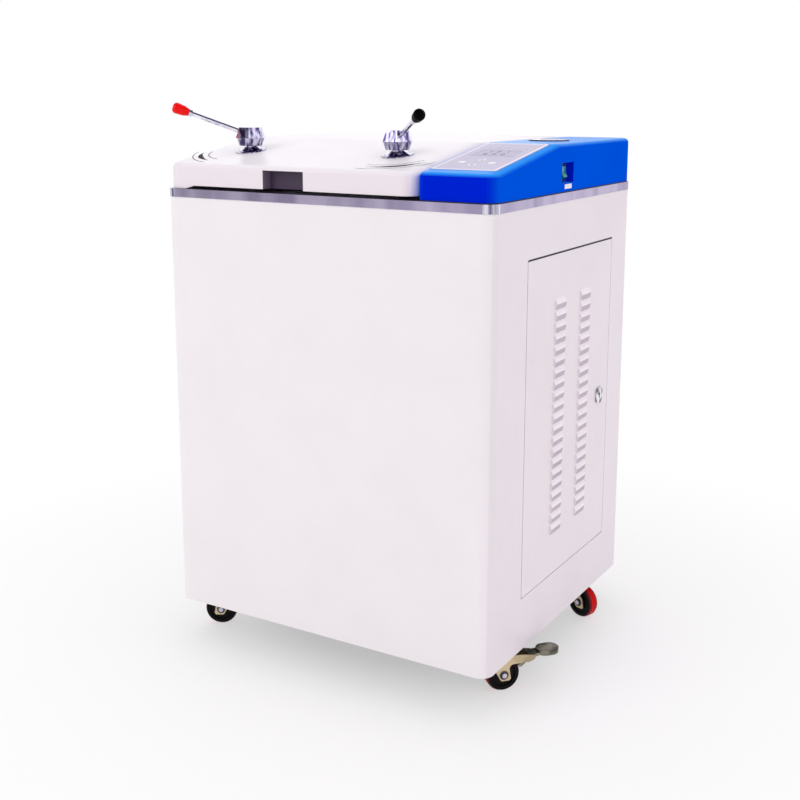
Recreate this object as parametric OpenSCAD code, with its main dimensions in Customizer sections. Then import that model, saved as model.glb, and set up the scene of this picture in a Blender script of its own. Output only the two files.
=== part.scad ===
// Vertical autoclave on four casters, millimetres.
// Z is up, X points to the right of the front, the front faces -Y.
// The origin is on the floor, under the middle of the cabinet.

/* [Cabinet] */
// Width of the cabinet across the front
body_w = 660; // [640:5:720]
// Depth of the cabinet from front to back
body_d = 600; // [590:5:680]
// Height of the painted body under the steel band
body_h = 770; // [740:5:860]
// Height of the body's lower edge over the floor
floor_gap = 80; // [78:1:96]
// Radius of the cabinet's four upright corners
corner_r = 24; // [16:1:30]
// Thickness of the painted sheet
sheet_t = 1.5; // [1:0.1:2]
// Height of the polished steel band
band_h = 15; // [12:1:20]
// How far the steel band stands out of the painted body
band_proud = 1; // [0.6:0.1:2]
// Side of the square tube of the inner frame
tube_w = 25; // [20:1:30]
// Thickness of the steel deck
deck_t = 3; // [2:0.5:4]

/* [Mouldings] */
// Width of the blue control housing
housing_w = 143; // [140:1:150]
// Height of the mouldings at the front
front_h = 46; // [42:1:54]
// Height of the mouldings at the back
back_h = 83; // [80:1:94]
// Distance from the front to the end of the slope
slope_far = 237; // [230:1:250]
// Radius of the mouldings' upper edges
edge_r = 9; // [5:1:11]
// Wall of the lid cover
mould_t = 3; // [2:0.5:4]
// Wall of the control housing
housing_t = 3.2; // [2.4:0.2:4]
// Gap under the front of the lid cover
lid_gap = 6; // [4:0.5:8]
// Gap between the lid cover and the control housing
seam_gap = 2; // [1:0.5:4]
// Rise of the lid cover's middle over its edges
lid_crown = 5; // [2:1:8]
// Width of the finger recess in the lid's front
grip_w = 84; // [70:2:100]
// Height of the finger recess
grip_h = 32; // [26:1:34]
// Depth of the finger recess
grip_depth = 22; // [18:1:24]

/* [Pressure vessel] */
// Room between the vessel's flange and the sides of the lid
flange_side_room = 15; // [12:1:40]
// Room behind the flange for the lid's hinge
hinge_room = 40; // [38:1:60]
// Wall of the vessel
vessel_t = 3; // [2:0.5:5]
// Depth of the chamber at its middle
chamber_depth = 550; // [520:5:580]
// How far the vessel's axis lies behind the cabinet's middle
vessel_y = 20; // [14:1:22]
// Width of the vessel's flange
flange_w = 55; // [48:1:56]
// Thickness of the flange
flange_t = 12; // [8:1:14]
// Thickness of the pressure lid's rim
rim_t = 12; // [8:1:13]
// Rise of the pressure lid's dome
dome_rise = 20; // [12:1:24]
// Thickness of the steel that carries the lid
arm_t = 8; // [6:1:9]
// Radius of the lid's hinge pin
hinge_pin_r = 6; // [4:0.5:8]

/* [Locking levers] */
// Angle of the spindles about the vessel, from the X axis
spindle_angle = 52; // [48:1:56]
// Radius of the lever spindles
spindle_r = 8; // [6:0.5:9]
// Direction of the left lever at rest, from the X axis
left_dir = 48; // [40:1:60]
// Direction of the right lever at rest, from the X axis
right_dir = 44; // [40:1:60]
// Slope of the left lever's rod
left_rise = 20.4; // [14:0.2:26]
// Slope of the right lever's rod
right_rise = 17.6; // [14:0.2:26]
// Distance from the spindle to the middle of the grip
lever_reach = 125; // [110:1:135]
// Radius of the lever rods
rod_r = 4; // [3:0.5:5]
// Length of the grip on each lever
knob_len = 30; // [24:1:40]
// Radius of the grip on each lever
knob_r = 10; // [8:0.5:13]
// Radius of the hexagonal head over its corners
head_r = 29; // [24:1:32]

/* [Side door] */
// Distance from the cabinet's middle to the door's hinge edge
door_front = 171; // [165:1:180]
// Distance from the cabinet's middle to the door's free edge
door_back = 204; // [196:1:212]
// Height of the door's lower edge over the body's edge
door_low = 97; // [80:1:110]
// Distance from the door's upper edge to the body's upper edge
door_high = 88; // [75:1:130]
// Depth of the door's folded edges
door_fold = 12; // [10:1:14]
// Louvers in each of the two columns
louver_count = 21; // [15:1:22]
// Pitch of the louvers
louver_pitch = 20.5; // [18:0.5:22]
// Length of a louver
louver_len = 42; // [34:1:46]
// How far a louver stands out
louver_out = 4; // [3:0.5:5]
// Radius of the cam lock's face
lock_r = 16; // [12:1:18]

/* [Controls] */
// Width of the membrane panel
panel_w = 116; // [110:1:117]
// Length of the membrane panel along the slope
panel_len = 206; // [196:1:208]
// Radius of a panel button
button_r = 7; // [5:0.5:8]
// Travel of a panel button
button_travel = 0.8; // [0.5:0.1:1]
// Radius of the pressure gauge's bezel
gauge_r = 37; // [30:1:38]

/* [Casters] */
// Radius of a caster wheel
wheel_r = 31; // [28:0.5:32]
// Width of a caster wheel
wheel_w = 21; // [16:1:24]
// Distance from the swivel axis to the wheel's axle
caster_trail = 32; // [28:1:36]
// Distance of the swivel axes from the cabinet's sides
caster_side = 57; // [50:1:66]
// Distance of the swivel axes from the cabinet's front and back
caster_end = 105; // [90:1:120]

/* [Hidden] */
$fn = 64;

// One overrun serves every cut
over = 1;
// Gap between parts of one body that are fitted into each other
fit_gap = 0.3;
// Gap round a shaft that turns
run_gap = 0.05;

// Levels
z_body = floor_gap;
z_band = z_body + body_h;
z_deck = z_band + band_h;
half_w = body_w / 2;
half_d = body_d / 2;

// Mouldings
lid_inset = 5;
face_inset = 3;
lid_x0 = lid_inset - half_w;
lid_x1 = half_w - housing_w - seam_gap;
housing_x0 = half_w - housing_w;
housing_x1 = half_w - band_proud;
face_y = face_inset - half_d;
tail_y = half_d - face_inset;
slope_near = face_inset + edge_r;
slope_run = slope_far - slope_near;
slope_rise = back_h - front_h;
slope_angle = atan(slope_rise / slope_run);
slope_lift = edge_r * (1 / cos(slope_angle) - 1);
function slope_z(y) = z_deck + front_h + slope_lift + (y + half_d - slope_near) * slope_rise / slope_run;

// Vessel and pressure lid
vessel_x = (lid_x0 + lid_x1) / 2;
flange_r = min((lid_x1 - lid_x0) / 2 - flange_side_room, half_d - vessel_y - hinge_room);
chamber_r = flange_r - flange_w;
vessel_r = chamber_r + vessel_t;
collar_h = 3;
collar_w = 15;
collar_lap = 3;
deck_hole_r = vessel_r + collar_w - collar_lap;
z_flange = z_deck + collar_h;
z_mouth = z_flange + flange_t;
dish_depth = 45;
z_floor = z_mouth - chamber_depth;
z_knuckle = z_floor + dish_depth;
rim_gap = 1.5;
rim_step = 2;
rim_r = flange_r - rim_step;
z_rim = z_mouth + rim_gap;
z_arm = z_rim + rim_t;
z_arm_top = z_arm + arm_t;
gasket_inset = 7;
gasket_r0 = chamber_r + gasket_inset;
gasket_w = 14;
gasket_h = 5.2;
hinge_back = 28;
hinge_y = half_d - hinge_back;
hinge_z = z_arm + arm_t / 2;
eye_wall = 8;
eye_r = hinge_pin_r + eye_wall;
strap_x = 70;
strap_w = 30;
ear_t = 8;
ear_gap = 1;
bracket_t = 6;

// Spindles
flange_clear = 6;
spindle_pitch_r = flange_r + spindle_r + flange_clear;
spindle_dx = spindle_pitch_r * cos(spindle_angle);
spindle_y = vessel_y - spindle_pitch_r * sin(spindle_angle);
z_lid_at_spindle = slope_z(spindle_y);
claw_len = 30;
claw_w = 18;
claw_t = 12;
claw_gap = 0.4;
pocket_gap = 3;
pocket_r = sqrt(pow(claw_len, 2) + pow(claw_w / 2, 2)) + pocket_gap;
neck_h = 9;
flute_h = 14;
hex_h = 19;
z_neck = z_lid_at_spindle + fit_gap;
z_flute = z_neck + neck_h;
z_hex = z_flute + flute_h;
z_head_top = z_hex + hex_h;
rod_drop = 4.5;
z_rod_root = z_hex + rod_drop;
function lever_turn(side) = side > 0 ? -right_dir : 180 + left_dir;
function lever_rise(side) = side > 0 ? right_rise : left_rise;
function knob_start(side) = lever_reach / cos(lever_rise(side)) - knob_len / 2;
escutcheon_r = 28;
escutcheon_h = 6;

// Side door
hinge_inset = 4;
hinge_gap = 2.2;
door_gap = 1.8;
z_door = z_body + door_low;
door_h = body_h - door_low - door_high;
door_pin_r = 2;
door_pin_len = 12;
door_pivot_x = half_w - hinge_inset;
door_pivot_y = hinge_inset - door_front;
jamb_depth = 16;
jamb_lip = 12;
lock_inset = 44;
lock_share = 0.494;
lock_y = door_back - lock_inset;
lock_z = z_door + door_h * lock_share;
lock_shaft_r = 9;
lock_face_t = 3;
cam_len = 38;
cam_w = 14;
cam_t = 2.5;
cam_gap = 2;
cam_x = half_w - jamb_depth - cam_gap;

// Controls
housing_mid = (housing_x0 + housing_x1) / 2;
panel_t = 1.5;
panel_proud = 0.5;
panel_margin = 6;
panel_end_gap = 3;
panel_mid_y = slope_far - half_d - panel_end_gap - cos(slope_angle) * panel_len / 2;
button_spread = 27;
button_rise = 18;
button_pad_y = -52;
display_w = 78;
display_len = 44;
display_y = 25;
button_gap = 0.4;
button_t = 2;
button_lip = 1.5;
button_stem = 3;
gauge_back = 215;
gauge_side = 10;
gauge_lap = 4;
gauge_y = half_d - gauge_back;
gauge_x = housing_mid - gauge_side;
gauge_body_r = gauge_r - gauge_lap;
gauge_deep = 26;
bezel_h = 2;
bezel_w = 3;
recess_deep = 15;
recess_len = 50;
recess_h = 35;
recess_y = -40;
recess_rise = 16;
recess_z = z_deck + recess_rise;
rocker_r = 12;
rocker_w = 16;
rocker_tilt = 12;
rocker_face = 5;
frame_rim = 3;
switch_x = half_w - recess_deep + frame_rim;
switch_share = 0.55;
switch_y = recess_y + recess_len * switch_share;
switch_z = recess_z + recess_h / 2;

// Casters: swivel place and rest angle of the wheel's trail
caster_x = half_w - caster_side;
caster_y = half_d - caster_end;
caster_t = 2.5;
caster_plate_w = 40;
kingpin_r = 5;
fork_t = 2;
fork_gap = 1.5;
fork_top = 3;
fork_clear = 3;
raceway_r = 16;
z_plate = z_body - caster_t;
z_fork = wheel_r * 2 + fork_clear;
z_crown = z_fork + fork_top;
fork_half = wheel_w / 2 + fork_gap;
axle_r = 4;
brake_room = 17;
brake_drop = 8;
brake_x = caster_trail + wheel_r + brake_room;
brake_z = z_fork - brake_drop;
brake_pin_r = 2.5;

// Pipes and inner equipment
bay_lap = 8;
bay_x = vessel_x + flange_r - bay_lap;
plate_t = 2;
pan_t = 2;
pipe_r = 6;
pipe_t = 2;
drain_r = 10;
drain_drop = 90;
drain_out = 34;
basket_gap = 20;
drain_z = z_floor - drain_drop;
drain_body_y = half_d + drain_out;
basket_r = chamber_r - basket_gap;
basket_t = 1.5;
basket_h = 330;
support_rise = 6;
z_support = z_knuckle + support_rise;
support_t = 2;
z_basket = z_support + support_t + fit_gap;
bail_gap = 9;
bail_drop = 14;
bail_r = basket_r - bail_gap;
bail_wire = 3;
bail_z = z_basket + basket_h - bail_drop;
heater_inset = 65;
heater_drop = 16;
heater_r = chamber_r - heater_inset;
heater_wire = 5.5;
heater_z = z_knuckle - heater_drop;

// Rounded rectangle centred on the origin
module plate2d(w, d, r) {
    square([w - 2 * r, d], center = true);
    square([w, d - 2 * r], center = true);
    for (x = [-1, 1], y = [-1, 1])
        translate([x * (w / 2 - r), y * (d / 2 - r)]) circle(r);
}

// Wall between two rounded rectangles
module ring2d(w, d, r, t) {
    difference() {
        plate2d(w, d, r);
        plate2d(w - 2 * t, d - 2 * t, max(r - t, fit_gap));
    }
}

// Box given by its two corners
module span(a, b) {
    translate(a) cube([b[0] - a[0], b[1] - a[1], b[2] - a[2]]);
}

// Cylinder between two points on a line parallel to X
module xrod(x0, x1, y, z, r) {
    translate([x0, y, z]) rotate([0, 90, 0]) cylinder(h = x1 - x0, r = r);
}

// Cylinder between two points on a line parallel to Y
module yrod(y0, y1, x, z, r) {
    translate([x, y0, z]) rotate([-90, 0, 0]) cylinder(h = y1 - y0, r = r);
}

// Points of a shallow dome from its rim to the axis
dome_steps = 10;
function dome_z(c, s, r) = let (q = (c * c + s * s) / (2 * s)) sqrt(q * q - r * r) - q + s;
function dome(c, s) = [for (i = [0 : dome_steps]) let (r = c * (1 - i / dome_steps)) [r, dome_z(c, s, r)]];

// Inner frame: tube rings, corner posts, floor pan and caster pads
module frame() {
    w = body_w - 2 * sheet_t - 2 * fit_gap;
    d = body_d - 2 * sheet_t - 2 * fit_gap;
    r = corner_r - sheet_t - fit_gap;
    z_top = z_deck - deck_t;
    pad_lap = 4;
    pad = caster_plate_w + 2 * pad_lap;
    slot_w = 8;
    slot_n = 6;
    color([0.35, 0.36, 0.38]) difference() {
        union() {
            translate([0, 0, z_body]) linear_extrude(tube_w) ring2d(w, d, r, tube_w);
            translate([0, 0, z_top - tube_w]) linear_extrude(tube_w) ring2d(w, d, r, tube_w);
            translate([0, 0, z_body]) linear_extrude(z_top - z_body) intersection() {
                plate2d(w, d, r);
                for (x = [-1, 1], y = [-1, 1])
                    translate([x * (w - tube_w) / 2, y * (d - tube_w) / 2])
                        square(tube_w, center = true);
            }
            translate([0, 0, z_body]) linear_extrude(pan_t) plate2d(w, d, r);
            for (x = [-1, 1], y = [-1, 1])
                translate([x * caster_x, y * caster_y, z_body + tube_w / 2])
                    cube([pad, pad, tube_w], center = true);
        }
        for (i = [0 : slot_n - 1])
            translate([vessel_x, (i - (slot_n - 1) / 2) * 3 * slot_w, z_body])
                cube([chamber_r, slot_w, 2 * pan_t + over], center = true);
    }
}

// Painted wrap-round body with the door's jamb and an open back
back_rim = 40;
module cabinet_shell() {
    z0 = z_door - door_gap;
    z1 = z_door + door_h + door_gap;
    y0 = -door_front - hinge_gap;
    y1 = door_back + door_gap;
    color([0.93, 0.91, 0.93]) difference() {
        union() {
            translate([0, 0, z_body]) linear_extrude(body_h) ring2d(body_w, body_d, corner_r, sheet_t);
            span([half_w - jamb_depth, y0 - sheet_t, z0 - sheet_t],
                [half_w - sheet_t / 2, y1 + sheet_t, z1 + sheet_t]);
        }
        span([half_w - jamb_depth + sheet_t, y0, z0], [half_w + over, y1, z1]);
        span([half_w - jamb_depth - over, y0 + jamb_lip, z0 + jamb_lip],
            [half_w + over, y1 - jamb_lip, z1 - jamb_lip]);
        span([back_rim - half_w, half_d - sheet_t - over, z_body + back_rim],
            [half_w - back_rim, half_d + over, z_band - back_rim]);
    }
}

// Screwed back panel with vents and its openings
panel_lap = 15;
screw_r = 4;
screw_h = 2;
drain_hole_gap = 4;
drain_hole_r = drain_r + drain_hole_gap;
inlet_w = 56;
inlet_h = 50;
inlet_x = 180;
inlet_rise = 110;
inlet_z = z_body + inlet_rise;
module rear_panel() {
    px = half_w - back_rim + panel_lap;
    z0 = z_body + back_rim - panel_lap;
    z1 = z_band - back_rim + panel_lap;
    vent_drop = 120;
    vent_n = 9;
    vent_len = 120;
    vent_h = 5;
    vent_pitch = 18;
    color([0.93, 0.91, 0.93]) difference() {
        union() {
            span([-px, half_d, z0], [px, half_d + sheet_t, z1]);
            for (x = [-1, 1], i = [0 : 3])
                yrod(half_d + sheet_t / 2, half_d + sheet_t + screw_h, x * (px - panel_lap / 2),
                    z0 + panel_lap + i * (z1 - z0 - 2 * panel_lap) / 3, screw_r);
        }
        for (x = [-1, 1], i = [0 : vent_n - 1])
            translate([x * half_w / 2, half_d, z_band - vent_drop - i * vent_pitch])
                cube([vent_len, 4 * sheet_t, vent_h], center = true);
        yrod(half_d - over, half_d + sheet_t + over, vessel_x, drain_z, drain_hole_r);
        translate([inlet_x, half_d, inlet_z]) cube([inlet_w, 4 * sheet_t, inlet_h], center = true);
    }
}

// Stainless deck whose folded rim shows as the polished band
module top_deck() {
    w = body_w + 2 * band_proud;
    d = body_d + 2 * band_proud;
    r = corner_r + band_proud;
    band_t = 2;
    wire_w = 90;
    wire_len = 260;
    color([0.78, 0.78, 0.8]) difference() {
        union() {
            translate([0, 0, z_deck - deck_t]) linear_extrude(deck_t) plate2d(w, d, r);
            translate([0, 0, z_band]) linear_extrude(band_h) ring2d(w, d, r, band_t);
        }
        translate([vessel_x, vessel_y, z_deck - deck_t - over])
            cylinder(h = deck_t + 2 * over, r = deck_hole_r);
        for (s = [-1, 1])
            translate([vessel_x + s * spindle_dx, spindle_y, z_deck - deck_t - over])
                cylinder(h = deck_t + 2 * over, r = pocket_r);
        translate([housing_mid, -recess_len / 2, z_deck])
            cube([wire_w, wire_len, 3 * deck_t], center = true);
    }
}

// Upright plate between the vessel and the service bay
plate_front = -150;
plate_back = 190;
module electrical_plate() {
    z0 = z_body + pan_t;
    top_drop = 140;
    z1 = z_mouth - top_drop;
    foot = 24;
    color([0.75, 0.76, 0.78]) union() {
        span([bay_x, plate_front, z0], [bay_x + plate_t, plate_back, z1]);
        span([bay_x, plate_front, z0], [bay_x + foot, plate_back, z0 + plate_t]);
        for (y = [plate_front, plate_back - plate_t])
            span([bay_x, y, z0], [bay_x + foot, y + plate_t, z1]);
    }
}

// Stainless vessel with its dished bottom and thick flange
module pressure_vessel() {
    wall = dome(vessel_r, dish_depth + vessel_t);
    bore = dome(chamber_r, dish_depth);
    port_r = drain_r - pipe_t;
    color([0.72, 0.73, 0.75]) translate([vessel_x, vessel_y, 0]) difference() {
        rotate_extrude($fn = 128) polygon(concat(
            [for (p = bore) [p[0], z_knuckle - p[1]]],
            [for (i = [dome_steps : -1 : 0]) [wall[i][0], z_knuckle - wall[i][1]]],
            [[vessel_r, z_deck], [vessel_r + collar_w, z_deck], [vessel_r + collar_w, z_flange],
                [flange_r, z_flange], [flange_r, z_mouth], [chamber_r, z_mouth]]));
        translate([0, 0, z_floor - vessel_t - over]) cylinder(h = dish_depth, r = port_r);
        for (s = [-1, 1])
            translate([s * heater_gap, heater_y, z_floor - vessel_t - over])
                cylinder(h = dish_depth + vessel_t, r = post_r + run_gap);
        for (y = [safety_dy, exhaust_dy])
            translate([chamber_r / 2, y, z_ports])
                rotate([0, 90, 0]) cylinder(h = chamber_r, r = pipe_r + run_gap);
    }
}

// Foil-faced insulation round the vessel
jacket_t = 24;
jacket_low = 30;
jacket_gap = 10;
port_gap = 2;
module insulation_jacket() {
    z0 = z_knuckle - jacket_low;
    color([0.8, 0.81, 0.83]) translate([vessel_x, vessel_y, 0]) difference() {
        translate([0, 0, z0]) cylinder(h = z_deck - deck_t - jacket_gap - z0,
            r = vessel_r + jacket_t, $fn = 128);
        translate([0, 0, z0 - over])
            cylinder(h = z_deck - z0, r = vessel_r + fit_gap, $fn = 128);
        for (y = [safety_dy, exhaust_dy])
            translate([chamber_r / 2, y, z_ports])
                rotate([0, 90, 0]) cylinder(h = 2 * chamber_r, r = pipe_r + port_gap);
    }
}

// Looped tubular heater: an open ring whose ends sit in two posts through the bottom
heater_gap = 18;
heater_y = -sqrt(heater_r * heater_r - heater_gap * heater_gap);
post_wall = 1;
post_r = heater_wire + post_wall;
module heating_element() {
    gap_angle = asin(heater_gap / heater_r);
    nut_r = 11;
    nut_h = 8;
    tail = 18;
    z_nut = z_knuckle - dome_z(vessel_r, dish_depth + vessel_t, heater_r - nut_r) - fit_gap;
    z_end = z_nut - nut_h - tail;
    color([0.6, 0.6, 0.62]) translate([vessel_x, vessel_y, 0]) {
        translate([0, 0, heater_z]) rotate([0, 0, gap_angle - 90])
            rotate_extrude(angle = 360 - 2 * gap_angle)
                translate([heater_r, 0]) circle(heater_wire, $fn = 24);
        for (s = [-1, 1]) {
            translate([s * heater_gap, heater_y, z_end])
                cylinder(h = heater_z + post_r - z_end, r = post_r);
            translate([s * heater_gap, heater_y, z_nut - nut_h]) cylinder(h = nut_h, r = nut_r, $fn = 6);
        }
    }
}

// Perforated plate that carries the basket over the heater
module support_plate() {
    hole_r = 9;
    ring_pitch = 48;
    leg_inset = 22;
    plate_gap = 7;
    leg_place_r = chamber_r - leg_inset;
    foot_r = 5;
    z_leg = z_knuckle - dome_z(chamber_r, dish_depth, leg_place_r + foot_r) + fit_gap;
    color([0.7, 0.71, 0.73]) translate([vessel_x, vessel_y, 0]) difference() {
        union() {
            translate([0, 0, z_support]) cylinder(h = support_t, r = chamber_r - plate_gap, $fn = 96);
            for (a = [30 : 120 : 270])
                rotate([0, 0, a]) translate([leg_place_r, 0, z_leg])
                    cylinder(h = z_support + support_t - z_leg, r = foot_r, $fn = 24);
        }
        translate([0, 0, z_support - over]) cylinder(h = support_t + 2 * over, r = hole_r);
        for (k = [1 : 3], j = [0 : 6 * k - 1])
            rotate([0, 0, j * 60 / k]) translate([k * ring_pitch, 0, z_support - over])
                cylinder(h = support_t + 2 * over, r = hole_r, $fn = 24);
    }
}

// Slotted basket with a folded rim
module basket() {
    slot_w = 10;
    slot_h = 46;
    per_row = 9;
    rows = 5;
    rim_w = 5;
    rim_h = 8;
    hole_r = 9;
    base_n = 6;
    color([0.78, 0.79, 0.8]) translate([vessel_x, vessel_y, z_basket]) difference() {
        rotate_extrude($fn = 96) polygon([[0, 0], [basket_r, 0], [basket_r, basket_h - rim_h],
            [basket_r + rim_w, basket_h - rim_h], [basket_r + rim_w, basket_h],
            [basket_r - basket_t, basket_h], [basket_r - basket_t, basket_t], [0, basket_t]]);
        for (row = [1 : rows], j = [0 : per_row - 1])
            rotate([0, 0, (j + 0.5) * 180 / per_row])
                translate([0, 0, (row - 0.4) * basket_h / (rows + 0.6)])
                    cube([3 * basket_r, slot_w, slot_h], center = true);
        for (k = [1 : 2], j = [0 : base_n * k - 1])
            rotate([0, 0, j * 360 / (base_n * k)]) translate([k * basket_r * 0.4, 0, -over])
                cylinder(h = basket_t + 2 * over, r = hole_r, $fn = 24);
        xrod(-basket_r - over, basket_r + over, 0, bail_z - z_basket, bail_wire + run_gap);
    }
}

// Bail handle that lies in the basket's mouth
module basket_bail() {
    pin_out = 4;
    color([0.65, 0.66, 0.68]) translate([vessel_x, vessel_y, bail_z]) {
        rotate([0, 0, 180]) rotate_extrude(angle = 180, $fn = 96)
            translate([bail_r, 0]) circle(bail_wire, $fn = 24);
        for (s = [0, 180]) rotate([0, 0, s]) {
            xrod(bail_r, basket_r + pin_out, 0, 0, bail_wire);
            translate([bail_r, 0, 0]) sphere(bail_wire, $fn = 24);
        }
    }
}

// Drain pipe from the vessel's middle to the ball valve behind the cabinet
drain_spigot_r = 8;
drain_spigot = 28;
valve_len = 44;
valve_w = 30;
stem_r = 5;
module drain_valve() {
    y_end = drain_body_y + valve_len / 2;
    z_top = z_floor - vessel_t;
    union_h = 14;
    union_w = 6;
    stem_h = 10;
    color([0.72, 0.6, 0.35]) difference() {
        union() {
            translate([vessel_x, vessel_y, drain_z]) cylinder(h = z_top - drain_z, r = drain_r, $fn = 32);
            translate([vessel_x, vessel_y, drain_z]) sphere(drain_r, $fn = 32);
            translate([vessel_x, vessel_y, z_top - union_h - pipe_t])
                cylinder(h = union_h, r = drain_r + union_w, $fn = 6);
            yrod(vessel_y, y_end, vessel_x, drain_z, drain_r);
            translate([vessel_x, drain_body_y, drain_z]) cube([valve_w, valve_len, valve_w], center = true);
            translate([vessel_x, drain_body_y, drain_z]) cylinder(h = valve_w / 2 + stem_h, r = stem_r);
            yrod(y_end - over, y_end + drain_spigot, vessel_x, drain_z, drain_spigot_r);
        }
        yrod(y_end, y_end + drain_spigot + over, vessel_x, drain_z, drain_spigot_r - pipe_t);
        translate([vessel_x, vessel_y, drain_z]) cylinder(h = z_top, r = drain_r - pipe_t);
    }
}

// Lever of the drain valve, across the pipe when shut
drain_lever_len = 82;
drain_lever_w = 18;
module drain_lever() {
    t = 3;
    hub_w = 3;
    lever_gap = 3;
    z0 = drain_z + valve_w / 2 + lever_gap;
    color([0.75, 0.08, 0.07]) translate([vessel_x, drain_body_y, z0]) difference() {
        union() {
            cylinder(h = t, r = drain_lever_w / 2 + hub_w);
            translate([0, -drain_lever_w / 2, 0]) cube([drain_lever_len, drain_lever_w, t]);
            translate([drain_lever_len, 0, 0]) cylinder(h = t, r = drain_lever_w / 2);
        }
        translate([0, 0, -over]) cylinder(h = t + 2 * over, r = stem_r + run_gap);
    }
}

// Places of the two upper ports of the vessel
port_drop = 105;
z_ports = z_mouth - port_drop;
safety_dy = -60;
exhaust_dy = 50;

// Safety valve on its own pipe, with the hub of its lifting lever
safety_reach = 78;
safety_x = vessel_x + vessel_r + safety_reach;
safety_body_h = 46;
safety_top = z_ports + safety_body_h;
safety_r = 13;
safety_pin_r = 2;
module safety_valve() {
    y = vessel_y + safety_dy;
    reach = sqrt(pow(vessel_r, 2) - pow(safety_dy, 2)) - vessel_t / 2;
    cheek = 3;
    nut_w = 4;
    color([0.75, 0.62, 0.32]) difference() {
        union() {
            xrod(vessel_x + reach, safety_x, y, z_ports, pipe_r);
            translate([safety_x, y, z_ports - safety_r])
                cylinder(h = safety_r + safety_body_h, r = safety_r);
            translate([safety_x, y, z_ports + safety_body_h / 2])
                cylinder(h = safety_body_h / 4, r = safety_r + nut_w, $fn = 6);
            for (s = [-1, 1])
                translate([safety_x, y + s * (safety_r - cheek), safety_top + cheek * 2])
                    cube([safety_r, cheek, cheek * 4], center = true);
            yrod(y - safety_r + cheek, y + safety_r - cheek, safety_x, safety_top + cheek * 2, safety_pin_r);
        }
        xrod(vessel_x + reach - over, safety_x, y, z_ports, pipe_r - pipe_t);
    }
}

// Lifting lever of the safety valve
safety_pin_rise = 6;
safety_pin_z = safety_top + safety_pin_rise;
module safety_lever() {
    y = vessel_y + safety_dy;
    hub_r = 4;
    len = 44;
    w = 12;
    t = 3;
    color([0.78, 0.1, 0.08]) translate([safety_x, y, safety_pin_z]) difference() {
        union() {
            yrod(-w / 2, w / 2, 0, 0, hub_r);
            translate([0, -w / 2, hub_r - t]) cube([len, w, t]);
        }
        yrod(-w, w, 0, 0, safety_pin_r + run_gap);
    }
}

// Exhaust solenoid valve and its pipe to the condensate bottle
bottle_r = 52;
bottle_h = 190;
bottle_side = 80;
bottle_x = half_w - bottle_side;
bottle_y = vessel_y + exhaust_dy;
bottle_neck_r = 14;
z_bottle = z_body + pan_t;
module exhaust_valve() {
    reach = sqrt(pow(vessel_r, 2) - pow(exhaust_dy, 2)) - vessel_t / 2;
    coil_reach = 74;
    coil_w = 34;
    dip = 24;
    coil_x = vessel_x + vessel_r + coil_reach;
    z_tip = z_bottle + bottle_h - dip;
    color([0.3, 0.31, 0.34]) difference() {
        union() {
            xrod(vessel_x + reach, bottle_x, bottle_y, z_ports, pipe_r);
            translate([bottle_x, bottle_y, z_ports]) sphere(pipe_r, $fn = 32);
            translate([bottle_x, bottle_y, z_tip]) cylinder(h = z_ports - z_tip, r = pipe_r, $fn = 32);
            translate([coil_x, bottle_y, z_ports]) cube([coil_w, coil_w, coil_w * 0.8], center = true);
            translate([coil_x, bottle_y, z_ports + coil_w * 0.3])
                cylinder(h = coil_w, r = coil_w * 0.4);
        }
        xrod(vessel_x + reach - over, coil_x, bottle_y, z_ports, pipe_r - pipe_t);
    }
}

// Bottle that catches the condensate
module condensate_bottle() {
    wall = 2;
    shoulder = 24;
    neck = 18;
    body = bottle_h - shoulder - neck;
    mouth_r = pipe_r + over;
    color([0.9, 0.92, 0.93]) translate([bottle_x, bottle_y, z_bottle]) rotate_extrude() polygon([
        [0, 0], [bottle_r, 0], [bottle_r, body], [bottle_neck_r, body + shoulder],
        [bottle_neck_r, bottle_h], [mouth_r, bottle_h], [mouth_r, bottle_h - wall],
        [bottle_neck_r - wall, bottle_h - wall], [bottle_neck_r - wall, body + shoulder],
        [bottle_r - wall, body], [bottle_r - wall, wall], [0, wall]]);
}

// Local frame of the slope: origin on its surface, at the panel's middle
module on_slope(x = housing_mid) {
    translate([x, panel_mid_y, slope_z(panel_mid_y)]) rotate([slope_angle, 0, 0]) children();
}

// Circuit board under the membrane panel, with the display module
board_drop = 14;
board_t = 1.6;
module control_board() {
    side_gap = 8;
    end_gap = 15;
    w = panel_w - 2 * side_gap;
    len = panel_len - 2 * end_gap;
    chip = 12;
    stand_r = 3;
    rim = 1;
    color([0.1, 0.35, 0.2]) on_slope() {
        translate([-w / 2, -len / 2, -board_drop]) cube([w, len, board_t]);
        translate([0, display_y, -panel_t - fit_gap - (board_drop - board_t) / 2])
            cube([display_w - 2 * rim, display_len - 2 * rim, board_drop - board_t], center = true);
        for (x = [-1, 1], y = [-1, 1])
            translate([x * (w / 2 - stand_r), y * (len / 2 - stand_r), -board_drop])
                cylinder(h = board_drop + panel_proud - panel_t - fit_gap, r = stand_r, $fn = 24);
        translate([chip, -chip * 6, -board_drop - chip / 3]) cube([chip * 2, chip * 2, chip / 3]);
        translate([-chip * 3, -chip * 6, -board_drop - chip]) cube([chip * 2, chip, chip]);
    }
}

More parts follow.
